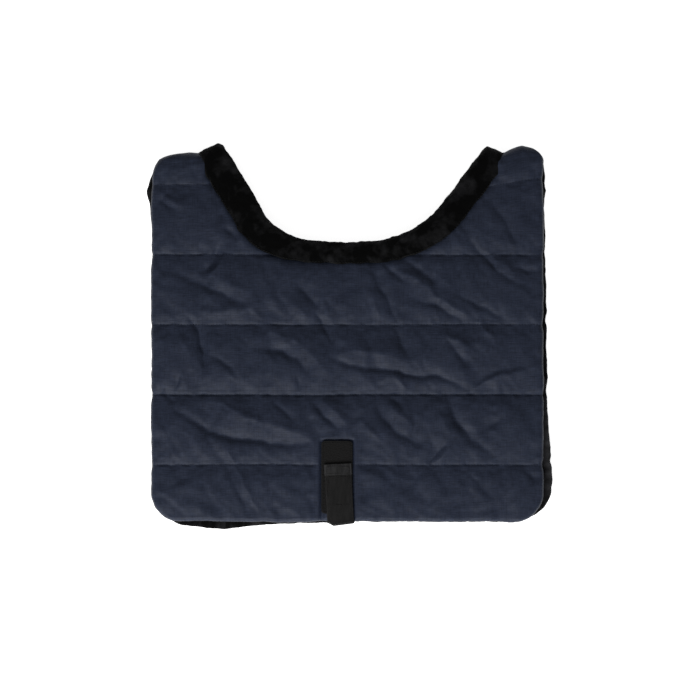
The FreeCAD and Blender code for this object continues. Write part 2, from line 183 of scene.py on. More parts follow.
# Creases pressed into the front panel while it was packed: height and half width in millimetres
# (negative heights are valleys), then the points that each one runs through, as x and q in millimetres.
CREASES = [
    (-2.4, 5, [(-267, 73), (-254, 82), (-240, 90)]),
    (2.2, 6, [(-258, 68), (-243, 80), (-228, 82)]),
    (-2.0, 7, [(205, 78), (222, 104), (240, 138)]),
    (-2.2, 5, [(171, 130), (192, 154), (214, 176), (247, 197)]),
    (1.6, 8, [(185, 140), (210, 158), (240, 180)]),
    (-1.8, 4, [(235, 168), (254, 176), (279, 173)]),
    (-2.2, 5, [(-176, 112), (-164, 122), (-152, 131)]),
    (-2.8, 5, [(-183, 140), (-190, 160), (-209, 180)]),
    (2.2, 6, [(-172, 146), (-180, 165), (-196, 184)]),
    (-3.4, 9, [(-254, 178), (-232, 183), (-208, 192), (-186, 203), (-161, 215), (-134, 221)]),
    (2.4, 11, [(-205, 178), (-180, 186), (-150, 200), (-120, 212)]),
    (2.2, 10, [(-212, 228), (-180, 231), (-145, 230), (-119, 215)]),
    (-3.0, 8, [(-72, 188), (-60, 208), (-38, 226)]),
    (-2.4, 4, [(-46, 233), (-37, 247), (-30, 262), (-18, 279)]),
    (2.0, 9, [(-92, 212), (-70, 228), (-52, 242)]),
    (-3.0, 7, [(38, 176), (50, 205), (64, 232), (70, 248)]),
    (-2.8, 7, [(69, 252), (76, 279), (93, 302)]),
    (2.0, 9, [(26, 196), (38, 218), (44, 240)]),
    (-2.2, 5, [(49, 162), (64, 176), (82, 192)]),
    (-2.4, 5, [(80, 160), (106, 176), (127, 194)]),
    (2.2, 7, [(84, 178), (112, 198), (142, 222), (182, 246)]),
    (-2.2, 6, [(140, 200), (172, 217), (220, 241)]),
    (-2.2, 8, [(88, 213), (124, 222), (163, 247)]),
    (1.8, 8, [(180, 246), (196, 258), (211, 270)]),
    (-3.4, 5, [(-226, 238), (-212, 259), (-203, 290), (-202, 322)]),
    (1.6, 8, [(-238, 262), (-224, 288), (-220, 318)]),
    (2.6, 12, [(-132, 268), (-106, 262), (-72, 274), (-42, 300), (-22, 322)]),
    (-3.2, 8, [(-142, 281), (-92, 288), (-68, 301), (-50, 325)]),
    (-2.6, 7, [(-197, 291), (-178, 301), (-160, 318)]),
    (1.4, 5, [(-176, 314), (-166, 322), (-154, 330)]),
    (-1.4, 4, [(-73, 320), (-70, 333), (-67, 344)]),
    (-1.4, 4, [(-247, 344), (-240, 334), (-236, 320)]),
    (3.0, 13, [(-18, 290), (20, 286), (56, 293), (84, 306)]),
    (-3.2, 5, [(-30, 294), (2, 308), (32, 311), (68, 317), (96, 325), (124, 322), (150, 333), (172, 346)]),
    (2.2, 5, [(172, 345), (193, 330), (222, 321), (256, 315)]),
    (-1.6, 4, [(176, 339), (196, 324), (226, 315), (258, 309)]),
    (2.8, 10, [(126, 262), (156, 274), (186, 297)]),
    (-2.4, 8, [(138, 270), (154, 290), (172, 312)]),
    (1.6, 5, [(64, 320), (76, 334), (86, 344)]),
    (-4.2, 9, [(-256, 365), (-224, 381), (-196, 401), (-164, 411), (-123, 415), (-84, 421), (-42, 414)]),
    (2.6, 9, [(-214, 356), (-176, 362), (-144, 380), (-82, 400), (-44, 404)]),
    (-1.8, 6, [(-265, 350), (-252, 354), (-240, 362)]),
    (-2.6, 7, [(-104, 360), (-88, 374), (-66, 392)]),
    (-2.8, 6, [(-52, 358), (-34, 378), (-8, 402)]),
    (1.8, 7, [(-38, 356), (-20, 370), (0, 392)]),
    (1.3, 3, [(-174, 420), (-160, 446), (-149, 468), (-136, 496), (-122, 524)]),
    (-1.2, 6, [(-182, 428), (-166, 462), (-150, 496), (-134, 524)]),
    (-1.2, 7, [(-257, 480), (-232, 470), (-208, 459)]),
    (-3.4, 9, [(38, 360), (50, 380), (66, 400), (110, 425)]),
    (2.4, 9, [(14, 382), (32, 398), (52, 420)]),
    (2.2, 8, [(56, 362), (74, 378), (98, 396)]),
    (-1.6, 5, [(58, 352), (68, 360), (80, 370)]),
    (-3.4, 10, [(143, 356), (152, 386), (176, 412), (204, 430)]),
    (2.0, 9, [(128, 372), (140, 394), (150, 412)]),
    (-1.6, 6, [(180, 402), (202, 393), (224, 380)]),
    (-1.8, 4, [(111, 447), (127, 432), (143, 413)]),
    (1.4, 5, [(118, 450), (134, 436), (148, 420)]),
    (-1.4, 8, [(158, 452), (184, 474), (214, 504)]),
    (-1.2, 7, [(72, 492), (90, 474), (108, 455)]),
    (-1.3, 5, [(248, 458), (260, 465), (273, 472)]),
]


def smooth(t):
    """0 below 0 and 1 above 1, with an easy curve between."""
    t = np.clip(t, 0, 1)
    return t * t * (3 - 2 * t)


def noise(u, v, cell, seed):
    """Smooth random hills between about -1 and 1, a cell apart."""
    n = 61
    angle = np.random.default_rng(seed).uniform(0, 2 * math.pi, (n, n))
    a, b = np.broadcast_arrays(np.asarray(u, float) / cell, np.asarray(v, float) / cell)
    i, j = np.floor(a).astype(int), np.floor(b).astype(int)
    f, g = a - i, b - j

    def corner(di, dj):
        """What one corner of a cell adds: its random slope times the way from it."""
        turn = angle[(i + di) % n, (j + dj) % n]
        return np.cos(turn) * (f - di) + np.sin(turn) * (g - dj)

    sf, sg = f**3 * (f * (6 * f - 15) + 10), g**3 * (g * (6 * g - 15) + 10)
    low = corner(0, 0) * (1 - sf) + corner(1, 0) * sf
    high = corner(0, 1) * (1 - sf) + corner(1, 1) * sf
    return 1.5 * (low * (1 - sg) + high * sg)


# ---------------------------------------------------------------- the cloth

def place(x, q, h):
    """The point in the frame of a cloth point."""
    x, q, h = np.broadcast_arrays(np.asarray(x, float), np.asarray(q, float), np.asarray(h, float))
    turn = np.clip(q / FOLD_R, -1, 1) * math.pi / 2
    beyond = np.maximum(np.abs(q) - FOLD_R, 0)
    back = q < 0
    r = PILE + h
    y = FOLD_Y + r * np.cos(turn) - beyond + back * BACK_SKEW * x * smooth(beyond / SKEW_START)
    # Only the outer layers follow the crest's ups and downs. The lining turns with the hinge.
    outer = smooth((r - HINGE_R) / (FOLD_R - 2 * MM - HINGE_R))
    y += outer * np.interp(x, CREST_X, CREST_LIFT) * (1 - smooth(np.abs(q) / CREST_REACH))
    y += (1 - back) * seam_drift(x, q)
    z = MID_Z + r * np.sin(turn)
    return np.stack([x + back * BACK_SKEW * beyond, y, z], -1)


def seam_drift(x, q):
    """How far the front panel's seams wander up or down. The first one climbs at its right end."""
    climb = 8.5 * MM * smooth((x - 196 * MM) / (80 * MM))
    climb = climb - 2.5 * MM * np.exp(-(((x - 190 * MM) / (40 * MM)) ** 2))
    wander = 1.1 * MM * noise(x, q, 120 * MM, 11) + 0.45 * MM * noise(x, q, 16 * MM, 12)
    wander = wander * smooth(q / (60 * MM))
    return wander + climb * np.exp(-(((q - FIRST_SEAM) / (34 * MM)) ** 2))


def seen_drop(q):
    """How far below the crest a cloth point is, seen from above."""
    a = np.abs(q)
    return np.where(a < FOLD_R, FOLD_R * (1 - np.cos(np.clip(a / FOLD_R, 0, 1) * math.pi / 2)), a)


def seam_distance(q):
    """Distance to the nearest seam."""
    return np.min([np.abs(np.abs(q) - seam) for seam in SEAMS], axis=0)


def dome(q):
    """0 at a seam and 1 in the middle of a row. The last row stays full down to the hem."""
    edges = [-FIRST_SEAM, *SEAMS, HEM_Q + 28 * MM]
    a = np.abs(q)
    full = np.zeros_like(a)
    for low, high in zip(edges, edges[1:]):
        u = (2 * a - low - high) / (high - low)
        full = np.where((a >= low) & (a < high), 1 - np.abs(u) ** 2.5, full)
    return full


def half_width(q, side):
    """The panel's half width on one side, with the shoulder's rounded corner and the seams' pull."""
    drop, corner = seen_drop(q), CREST_CORNER_R[side]
    notch = corner - np.sqrt(np.maximum(corner**2 - np.maximum(corner - drop, 0) ** 2, 0))
    pull = 1.4 * MM * np.exp(-((seam_distance(q) / (7 * MM)) ** 2))
    sway = 1.3 * MM * noise(q, side * 0.3, 52 * MM, 5) + 0.5 * MM * noise(q, side * 0.3, 14 * MM, 6)
    return HALF_WIDTH - notch - pull + sway


def edge_distance(x, q):
    """Distance in from the panel's outline, and the direction across the cloth that leads out."""
    side = np.where(x < 0, -1.0, 1.0)
    from_side = np.where(x < 0, half_width(q, -1), half_width(q, 1)) - np.abs(x)
    from_hem = HEM_Q + hem_sway(x, q) - np.abs(q)
    a, b = np.maximum(HEM_CORNER_R - from_side, 0), np.maximum(HEM_CORNER_R - from_hem, 0)
    reach = np.maximum(np.hypot(a, b), 1e-9)
    corner = (a > 0) & (b > 0)
    distance = np.where(corner, HEM_CORNER_R - reach, np.minimum(from_side, from_hem))
    across = np.where(corner, a / reach, from_side <= from_hem) * side
    down = np.where(corner, b / reach, from_side > from_hem) * np.sign(q)
    return distance, across, down


def hem_sway(x, q):
    """How far the hem wanders down from its straight line."""
    row = np.sign(q) * 0.2
    return 1.2 * MM * noise(x, row, 60 * MM, 8) + 0.4 * MM * noise(x, row, 15 * MM, 9)


def neck_curves():
    """The flat curve's and the corner's centres and the corner's radius, in x and q."""
    a, b = NECK_BASE_TURN, NECK_SLOPE
    base = np.array([0, NECK_DEPTH - NECK_BASE_R])
    start = base + NECK_BASE_R * np.array([math.sin(a), math.cos(a)])
    into_opening = np.array([-math.sin(b), -math.cos(b)])
    gap = into_opening @ (start - np.array([NECK_HALF_WIDTH, 0]))
    per_radius = into_opening @ np.array([math.sin(b) - math.sin(a), math.cos(b) - math.cos(a)])
    radius = -gap / per_radius
    corner = base + (NECK_BASE_R - radius) * np.array([math.sin(a), math.cos(a)])
    return base, corner, radius


NECK_BASE, NECK_CORNER, NECK_CORNER_R = neck_curves()


def neck_shift(drop):
    """How far the neck's middle lies to the right, at a height below the crest."""
    return NECK_SHIFT * (1 - 1.7 * (np.maximum(drop, 0) / NECK_DEPTH) ** 2.2)


def from_neck(x, q):
    """Distance from the neck's edge into the cloth, negative inside the opening.

    Also gives the edge's direction at its nearest place, from 0 at the bottom to NECK_SLOPE at the sides,
    and how far that place is below the crest.
    """
    drop = seen_drop(q)
    foot = drop
    for _ in range(2):
        a = np.abs(x - neck_shift(foot))
        to_base = np.hypot(a - NECK_BASE[0], drop - NECK_BASE[1]) - NECK_BASE_R
        to_corner = np.hypot(a - NECK_CORNER[0], drop - NECK_CORNER[1]) - NECK_CORNER_R
        to_side = (a - NECK_HALF_WIDTH) * math.sin(NECK_SLOPE) + drop * math.cos(NECK_SLOPE)
        turn = np.arctan2(a - NECK_CORNER[0], drop - NECK_CORNER[1])
        distance = np.where(turn > NECK_SLOPE, to_side, np.where(turn < NECK_BASE_TURN, to_base, to_corner))
        turn = np.clip(turn, 0, NECK_SLOPE)
        foot = np.clip(drop - np.cos(turn) * distance, 0, NECK_DEPTH)
    return distance, turn, foot


def binding_width(x, turn, drop):
    """The binding's width across the cloth: wider up the sides, and drawn in over the shoulder."""
    wide = np.where(x < 0, BINDING_WIDE[-1], BINDING_WIDE[1])
    width = BINDING_NARROW + (wide - BINDING_NARROW) * smooth(np.abs(turn) / NECK_SLOPE)
    return width * (1 - 0.32 * smooth(1 - drop / (17 * MM)))


def past_binding(x, q):
    """Distance from the binding's outer edge into the quilt, negative under the binding."""
    distance, turn, foot = from_neck(x, q)
    return distance - binding_width(x, turn, foot)


def tape_gap(x, q):
    """Distance outside the loop tape's outline, negative under it."""
    return np.maximum(np.abs(x - TAPE_X) - TAPE_W / 2, TAPE_TOP_Q - q)


# ---------------------------------------------------------------- the quilt's height

def crease_height(x, q):
    """The pressed creases, each tapering to nothing at its ends. A valley is steeper on its lower side."""
    total = np.zeros_like(x)
    wander_x = x + 2.2 * MM * noise(x, q, 17 * MM, 21)
    wander_q = q + 2.2 * MM * noise(x, q, 17 * MM, 22)
    for height, width, points in CREASES:
        line = np.array(points) * MM
        steps = np.hypot(*(line[1:] - line[:-1]).T)
        nearest, at, below = np.full_like(x, 9.0), np.zeros_like(x), np.zeros_like(x)
        done = 0.0
        for start, (run_x, run_q), length in zip(line, line[1:] - line[:-1], steps):
            off_x, off_q = wander_x - start[0], wander_q - start[1]
            t = np.clip((off_x * run_x + off_q * run_q) / length**2, 0, 1)
            gap = np.hypot(off_x - t * run_x, off_q - t * run_q)
            closer = gap < nearest
            nearest = np.where(closer, gap, nearest)
            at = np.where(closer, done + t * length, at)
            across = (run_x * off_q - run_q * off_x) / length / np.maximum(gap, 0.01 * MM)
            below = np.where(closer, across, below)
            done += length
        taper = np.sin(math.pi * np.clip(at / done, 0.02, 0.98)) ** 0.8
        lean = 1.35 - 0.55 * below if height < 0 else 1.2
        reach = (np.hypot(nearest, 0.6 * MM) - 0.6 * MM) / (width * MM * lean)
        total += CREASE_GAIN * height * MM * taper * np.exp(-1.15 * reach**1.1)
    return total


def folds_noise(x, q, seed, lean):
    """Long soft folds that lean the same way, with sharper crests than hollows."""
    u = x + 9 * MM * noise(x, q, 55 * MM, seed + 1)
    v = q + 9 * MM * noise(x, q, 55 * MM, seed + 2)
    along, across = u * math.cos(lean) + v * math.sin(lean), v * math.cos(lean) - u * math.sin(lean)
    return 1 - 2 * np.abs(noise(along, across * 2.6, 62 * MM, seed))


def under_tape(x, q):
    """1 where the stiff loop tape holds the quilt flat, fading to 0 round it."""
    across = smooth((37 * MM - np.abs(x - TAPE_X)) / (17 * MM))
    down = smooth((q - TAPE_TOP_Q + 14 * MM) / (16 * MM))
    return across * down * (q > 0)


def shell_height(x, q):
    """The shell's height over the pile, with the quilting, its puckers and its folds."""
    gap = seam_distance(q)
    nearest_seam = np.round((np.abs(q) - FIRST_SEAM) / SEAM_PITCH)
    free_of_tape = 1 - under_tape(x, q)
    front = q > 0
    # The rows: stitched down at the seams, to a depth that varies along them, and domed between them.
    seam = np.clip(nearest_seam, 0, len(SEAMS) - 1).astype(int)
    line = nearest_seam * 0.7
    sewn = SEAM_H + SEAM_RISE[seam] + 1.0 * MM * noise(x, line + 3 * front, 42 * MM, 32)
    groove = SEAM_PULL[seam] * (0.6 + 0.8 * noise(x, line + 3 * front, 15 * MM, 34))
    h = sewn + (CROWN_H - sewn) * dome(q) - groove * np.exp(-((gap / (1.8 * MM)) ** 2))
    h += 0.8 * MM * noise(x, q, 85 * MM, 31) * dome(q)
    # Soft folds that lean both ways, and short puckers that differ on a seam's two sides.
    free = smooth(gap / (13 * MM)) * free_of_tape
    h += free * np.where(front, 0.55, 0.7) * MM * folds_noise(x, q, 41, 0.55)
    h += free * np.where(front, 0.4, 0.5) * MM * folds_noise(x, q, 47, -0.5)
    below = np.abs(q) > FIRST_SEAM + nearest_seam * SEAM_PITCH
    pucker = noise(x, line + 0.25 * below, 9 * MM, 33)
    h += 0.8 * MM * np.exp(-gap / (6 * MM)) * smooth(gap / (2 * MM)) * pucker * free_of_tape
    h += 0.15 * MM * noise(x, q, 9 * MM, 35) * free_of_tape
    # The pressed creases and the simulated wrinkles, which fade out over the fold.
    round_fold = smooth((np.abs(q) - 0.6 * FOLD_R) / (18 * MM))
    h += front * crease_height(x, q) * (0.15 + 0.85 * free_of_tape) * round_fold
    h += CRUMPLE_GAIN * crumple(x, np.abs(q)) * free_of_tape * round_fold
    # Puckers fan out from the neck binding, which gathers the quilt a little and presses it down.
    near = past_binding(x, q)
    fan = noise(np.arctan2(x, seen_drop(q) + 60 * MM) * 0.2, np.sign(q) * 0.3, 9 * MM, 37)
    h += 1.1 * MM * np.exp(-np.maximum(near, 0) / (14 * MM)) * fan
    h -= 3.6 * MM * np.exp(-np.maximum(near, 0) / (6 * MM)) + 5 * MM * smooth(-near / (5 * MM))
    moat = TAPE_MOAT * front * np.exp(-(((tape_gap(x, q) + 1.0 * MM) / (2.7 * MM)) ** 2))
    bed = (TAPE_BED_H - h) * (1 - free_of_tape) * 0.92
    return np.maximum(h + bed - moat, shell_edge(q) + 1 * MM)


def crumple_map():
    """Simulates a panel's shell as cloth that is sewn down along its seams and edges over springy wadding.

    Gives how far its wrinkles stand out, on a grid of x and q. The cloth starts with the pressed creases,
    is cut a little larger than what it covers, and is blown up by the wadding.
    """
    columns = np.linspace(-HALF_WIDTH, HALF_WIDTH, 112)
    rows = np.linspace(0, HEM_Q, 106)
    q, x = np.meshgrid(rows, columns, indexing="ij")
    rng = np.random.default_rng(7)
    start = 3 * MM * dome(q) + 0.8 * crease_height(x, q) + rng.uniform(-0.3, 0.3, x.shape) * MM
    pinned = (seam_distance(q) < 2.6 * MM) | (past_binding(x, q) < 0) | (np.abs(x) > HALF_WIDTH - 4 * MM)
    pinned |= (q < FOLD_R) | (q > HEM_Q - 4 * MM) | (under_tape(x, q) > 0.6)
    start[pinned] = 0
    points = np.stack([x, -q, start], -1).reshape(-1, 3)
    mesh = bpy.data.meshes.new("crumple")
    mesh.from_pydata(points.tolist(), [], grid_faces(len(rows), len(columns))[:, ::-1].tolist())
    sheet = bpy.data.objects.new("crumple", mesh)
    bpy.context.scene.collection.objects.link(sheet)
    sheet.vertex_groups.new(name="sewn").add(np.flatnonzero(pinned).tolist(), 1.0, "REPLACE")
    cloth = sheet.modifiers.new("cloth", "CLOTH")
    settings = cloth.settings
    settings.quality, settings.mass = 6, 0.2
    settings.tension_stiffness = settings.compression_stiffness = 20
    settings.shear_stiffness, settings.bending_stiffness = 8, 0.05
    settings.shrink_min = CLOTH_SPARE
    settings.vertex_group_mass = "sewn"
    settings.use_pressure, settings.uniform_pressure_force = True, 1.5
    settings.effector_weights.gravity = 0
    cloth.collision_settings.use_collision = False
    for frame_number in range(1, SIM_FRAMES + 1):
        bpy.context.scene.frame_set(frame_number)
    settled = sheet.evaluated_get(bpy.context.evaluated_depsgraph_get()).to_mesh()
    height = np.array([v.co.z for v in settled.vertices]).reshape(x.shape)
    bpy.data.objects.remove(sheet)
    bpy.context.scene.frame_set(1)
    return columns, rows, np.clip(height - blur(height, 5), -CRUMPLE_MOST, CRUMPLE_MOST)


def blur(values, reach):
    """Softens a grid of values over about reach cells each way."""
    kernel = np.exp(-0.5 * (np.arange(-2 * reach, 2 * reach + 1) / (reach * 0.8)) ** 2)
    kernel /= kernel.sum()
    for axis in (0, 1):
        padded = np.pad(values, [(2 * reach, 2 * reach) if k == axis else (0, 0) for k in (0, 1)], "edge")
        values = np.apply_along_axis(np.convolve, axis, padded, kernel, "valid")
    return values


def crumple(x, q):
    """The simulated wrinkles at cloth points, read smoothly off their grid."""
    columns, rows, height = CRUMPLE
    a = np.clip((x - columns[0]) / (columns[1] - columns[0]), 1, len(columns) - 3)
    b = np.clip((q - rows[0]) / (rows[1] - rows[0]), 1, len(rows) - 3)
    i, j = np.floor(a).astype(int), np.floor(b).astype(int)
    total = np.zeros(np.broadcast(x, q).shape)
    for di, wi in enumerate(spline_weights(a - i)):
        for dj, wj in enumerate(spline_weights(b - j)):
            total += wi * wj * height[j + dj - 1, i + di - 1]
    return total


def spline_weights(t):
    """The four weights of a cubic B-spline."""
    second = (3 * t**3 - 6 * t**2 + 4) / 6
    third = (-3 * t**3 + 3 * t**2 + 3 * t + 1) / 6
    return (1 - t) ** 3 / 6, second, third, t**3 / 6


def lining_height(x, q):
    """The plush's inner face, drawn in at the seams, over the pile."""
    gap = seam_distance(q)
    h = 2.4 * MM * np.exp(-((gap / (5 * MM)) ** 1.4))
    h += 0.5 * MM * (1 + noise(x, q, 46 * MM, 51)) * smooth(gap / (20 * MM))
    clumps = 0.35 * noise(x, q, 7 * MM, 52) + 0.22 * noise(x, q, 3.4 * MM, 53)
    return np.maximum(h + clumps * MM + 0.45 * MM, 0.05 * MM)


# ---------------------------------------------------------------- meshes

def add_mesh(name, points, faces, uv, finish, normals=None, pale=None):
    """A smooth mesh of quads or triangles, with cloth coordinates in metres as its UV map.

    pale is how much painted sheen lightens each point of a plush.
    """
    points = np.asarray(points, float).reshape(-1, 3)
    faces = np.asarray(faces, int)
    mesh = bpy.data.meshes.new(name)
    mesh.from_pydata(points.tolist(), [], faces.tolist())
    mesh.shade_smooth()
    layer = mesh.uv_layers.new(name="cloth")
    layer.data.foreach_set("uv", np.asarray(uv, np.float32).reshape(-1, 2)[faces.ravel()].ravel())
    if normals is not None:
        mesh.normals_split_custom_set_from_vertices(normals.reshape(-1, 3))
    if pale is not None:
        mesh.attributes.new("pale", "FLOAT", "POINT").data.foreach_set("value", pale.ravel())
    mesh.materials.append(finish)
    piece = bpy.data.objects.new(name, mesh)
    bpy.context.scene.collection.objects.link(piece)
    return piece


def grid_faces(rows, columns, keep=None, closed=False):
    """Quads of a grid of points, those with keep set. closed joins the last column to the first."""
    index = np.arange(rows * columns).reshape(rows, columns)
    if closed:
        index = np.concatenate([index, index[:, :1]], axis=1)
    quads = np.stack([index[:-1, :-1], index[:-1, 1:], index[1:, 1:], index[1:, :-1]], -1)
    return quads[keep] if keep is not None else quads.reshape(-1, 4)


def used_only(points, faces, *others):
    """Drops the points of a grid that no face uses, and what others say about them."""
    used, new_faces = np.unique(faces, return_inverse=True)
    kept = [values.reshape(-1, values.shape[-1])[used] for values in (points, *others)]
    return kept[0], new_faces.reshape(np.shape(faces)), *kept[1:]


def spread(low, high, count, ends):
    """Count steps from low to high, closer together at both ends by the share ends."""
    t = np.linspace(0, 1, count + 1)
    return low + (high - low) * ((1 - ends) * t + ends * (0.5 - 0.5 * np.cos(math.pi * t)))


def rows_of_cloth(first, last, step):
    """Row positions from q first to q last, closer together at every seam and at the hem."""
    stops = [first, *[seam for seam in SEAMS if first < seam < last], last]
    rows = [np.array([first])]
    for low, high in zip(stops, stops[1:]):
        count = max(6, round((high - low) / step))
        rows.append(spread(low, high, count, 0.55)[1:])
    return np.concatenate(rows)


def clear_of_binding(x, q, under):
    """The quads of a cloth grid that reach no further than under beneath the neck binding."""
    covered = past_binding(x, q) < -under
    return ~(covered[:-1, :-1] | covered[1:, :-1] | covered[:-1, 1:] | covered[1:, 1:])


def cloth_grid(rows, columns):
    """x and q of a grid that fills the panel's outline between the first and the last row."""
    across = spread(-1, 1, columns, 0.3)
    q = np.repeat(rows[:, None], columns + 1, axis=1)
    p = np.repeat(across[None, :], len(rows), axis=0)
    middle = HEM_Q - np.abs(q)
    corner = np.maximum(HEM_CORNER_R - middle, 0)
    cut = HEM_CORNER_R - np.sqrt(np.maximum(HEM_CORNER_R**2 - corner**2, 0))
    x = np.where(p < 0, p * (half_width(q, -1) - cut), p * (half_width(q, 1) - cut))
    return x, q + np.sign(q) * hem_sway(x, q) * smooth(1 - middle / (45 * MM))


def rolled_edge(x, q, radius, turn, out):
    """Rolls the outer edge of a cloth grid over, and gives how far round each point is, from 0 to 1."""
    distance, across, down = edge_distance(x, q)
    part = np.clip(1 - distance / radius, 0, 1)
    angle = part * turn
    shift = radius * (np.sin(angle) - part) + out * part
    fall = (1 - np.cos(angle)) / (1 - math.cos(turn))
    return x + across * shift, q + down * shift, fall


def shell_edge(q):
    """How high over the pile the edges of shell and lining meet: over the fold, at the hinge's radius."""
    return SHELL_EDGE_H + (HINGE_R - SHELL_EDGE_H) * (1 - smooth((np.abs(q) - FOLD_R) / (16 * MM)))


def surface_normals(points):
    """Normals of a grid of points, the same on both sides of a cut through it."""
    across, down = np.gradient(points, axis=1), np.gradient(points, axis=0)
    normal = np.cross(down, across)
    return normal / np.maximum(np.linalg.norm(normal, axis=-1, keepdims=True), 1e-12)


def shell_points(x, q):
    """The shell's outer face, down to its edge on the lining."""
    top = shell_height(x, q)
    distance = edge_distance(x, q)[0]
    top -= 1.6 * MM * np.exp(-np.maximum(distance, 0) / (10 * MM))
    rolled_x, rolled_q, fall = rolled_edge(x, q, SHELL_ROLL_R, math.radians(112), 0)
    return place(rolled_x, rolled_q, top + (shell_edge(q) - top) * fall)


def make_shells(finish):
    """The shell of both panels and both shoulders, cut from one surface so that they meet smoothly."""
    front_rows = rows_of_cloth(FOLD_R, HEM_Q, 2.15 * MM)
    back_rows = rows_of_cloth(FOLD_R, HEM_Q, 3.2 * MM)
    fold_rows = np.linspace(-FOLD_R, FOLD_R, 27)
    rows = np.concatenate([-back_rows[::-1], fold_rows[1:-1], front_rows])
    columns = 290
    x, q = cloth_grid(rows, columns)
    points = shell_points(x, q)
    normals = surface_normals(points)
    kept = clear_of_binding(x, q, BINDING_LAP)
    first_fold = len(back_rows) - 1
    last_fold = first_fold + len(fold_rows) - 1
    row = np.arange(len(rows) - 1)[:, None]
    folded = (row >= first_fold) & (row < last_fold)
    left = x[:-1, :-1] < 0
    spans = {
        "front_shell_quilt": kept & (row >= last_fold),
        "back_shell_quilt": kept & (row < first_fold),
        "left_shoulder_turn": kept & folded & left,
        "right_shoulder_turn": kept & folded & ~left,
    }
    made = {}
    for name, keep in spans.items():
        faces = grid_faces(len(rows), columns + 1, keep)[:, ::-1]
        used, faces, uv, used_normals = used_only(points, faces, np.stack([x, q], -1), normals)
        made[name] = add_mesh(name, used, faces, uv, finish, used_normals)
    return made


def make_lining(name, sign, finish):
    """One panel's plush: its inner face, and its edge that shows as a dark line under the shell's."""
    rows = rows_of_cloth(FOLD_R - 1.5 * MM, HEM_Q, 3.0 * MM)
    columns = 200
    x, q = cloth_grid(rows, columns)
    q = q * sign
    inner = lining_height(x, q)
    out = (1.4 + 0.9 * noise(x, q, 12 * MM, 55) + 0.5 * noise(x, q, 4 * MM, 56)) * MM
    if sign < 0:
        out = out + pile_bulge(x, np.abs(q))
    rolled_x, rolled_q, fall = rolled_edge(x, q, LINING_ROLL_R, math.radians(150), out)
    points = place(rolled_x, rolled_q, inner + (shell_edge(q) + 1.2 * MM - inner) * fall)
    faces = grid_faces(len(rows), columns + 1, clear_of_binding(x, q, BINDING_LAP))[:, ::sign]
    # painted sheen: the back lining's edge is painted lighter, low on the right
    pale = painted_rim_sheen(x, np.abs(q)) * (sign < 0)
    used, faces, uv, pale = used_only(points, faces, np.stack([x, q], -1), pale[..., None])
    return add_mesh(name, used, faces, uv, finish, pale=pale)


def painted_rim_sheen(x, drop):
    """Painted sheen: how much the back panel's pile is painted lighter at its edge, low on the right."""
    rim = smooth(1.6 - edge_distance(x, drop)[0] / (12 * MM))
    patch = smooth((drop - 330 * MM) / (90 * MM)) * smooth((505 * MM - drop) / (30 * MM)) * (x > 0.2)
    return rim * patch * (0.5 + 0.5 * noise(x, drop, 11 * MM, 57))


def pile_bulge(x, drop):
    """Where the back panel's deep pile stands out most past its shell, as seen round the front panel."""
    def hill(value, middle, reach):
        """1 at a place in millimetres, falling to 0 a reach or two away."""
        return np.exp(-(((value - middle * MM) / (reach * MM)) ** 2))

    left = (x < -0.2) * (8.5 * hill(drop, 57, 15) + 4.5 * hill(drop, 84, 32))
    right = (x > 0.2) * (5 * hill(drop, 55, 24) + 5.5 * hill(drop, 462, 42))
    low = (drop > 0.45) * (7.5 * hill(x, -192, 42) + 3 * hill(x, -120, 60))
    return (left + right + low) * MM


def make_wadding(name, sign, finish):
    """The filling, sealed between the shell and the lining: a closed quilted slab."""
    rows = rows_of_cloth(FOLD_R + 5 * MM, HEM_Q - 7 * MM, 5 * MM)
    columns = 120
    x, q = cloth_grid(rows, columns)
    x *= 1 - 9 * MM / HALF_WIDTH
    q = q * sign
    low = np.full_like(x, LINING_T - 0.5 * MM)
    reach = 4 * MM
    around = [shell_height(x + a * reach, q + b * reach) for a in (-1, 0, 1) for b in (-1, 0, 1)]
    thinner = 2.2 * MM + 5 * MM * np.exp(-edge_distance(x, q)[0] / (9 * MM))
    high = np.maximum(np.min(around, axis=0) - thinner, low + 0.5 * MM)
    points = place(*(np.stack([a, b]) for a, b in ((x, x), (q, q), (high, low))))
    faces = grid_faces(len(rows), columns + 1, clear_of_binding(x, q, -4 * MM))
    rims = boundary_edges(faces)
    count = x.size
    walls = np.stack([rims[:, 0], rims[:, 1], rims[:, 1] + count, rims[:, 0] + count], -1)
    every = np.concatenate([faces[:, ::-1], faces + count, walls])[:, ::sign]
    uv = np.stack([x, q], -1)
    return add_mesh(name, *used_only(points, every, np.stack([uv, uv])), finish)


def boundary_edges(faces):
    """The directed edges of quads that only one face has."""
    edges = np.concatenate([faces[:, [k, (k + 1) % 4]] for k in range(4)])
    keys = np.sort(edges, axis=1)
    _, first, count = np.unique(keys, axis=0, return_index=True, return_counts=True)
    return edges[first[count == 1]]


# ---------------------------------------------------------------- the neck binding

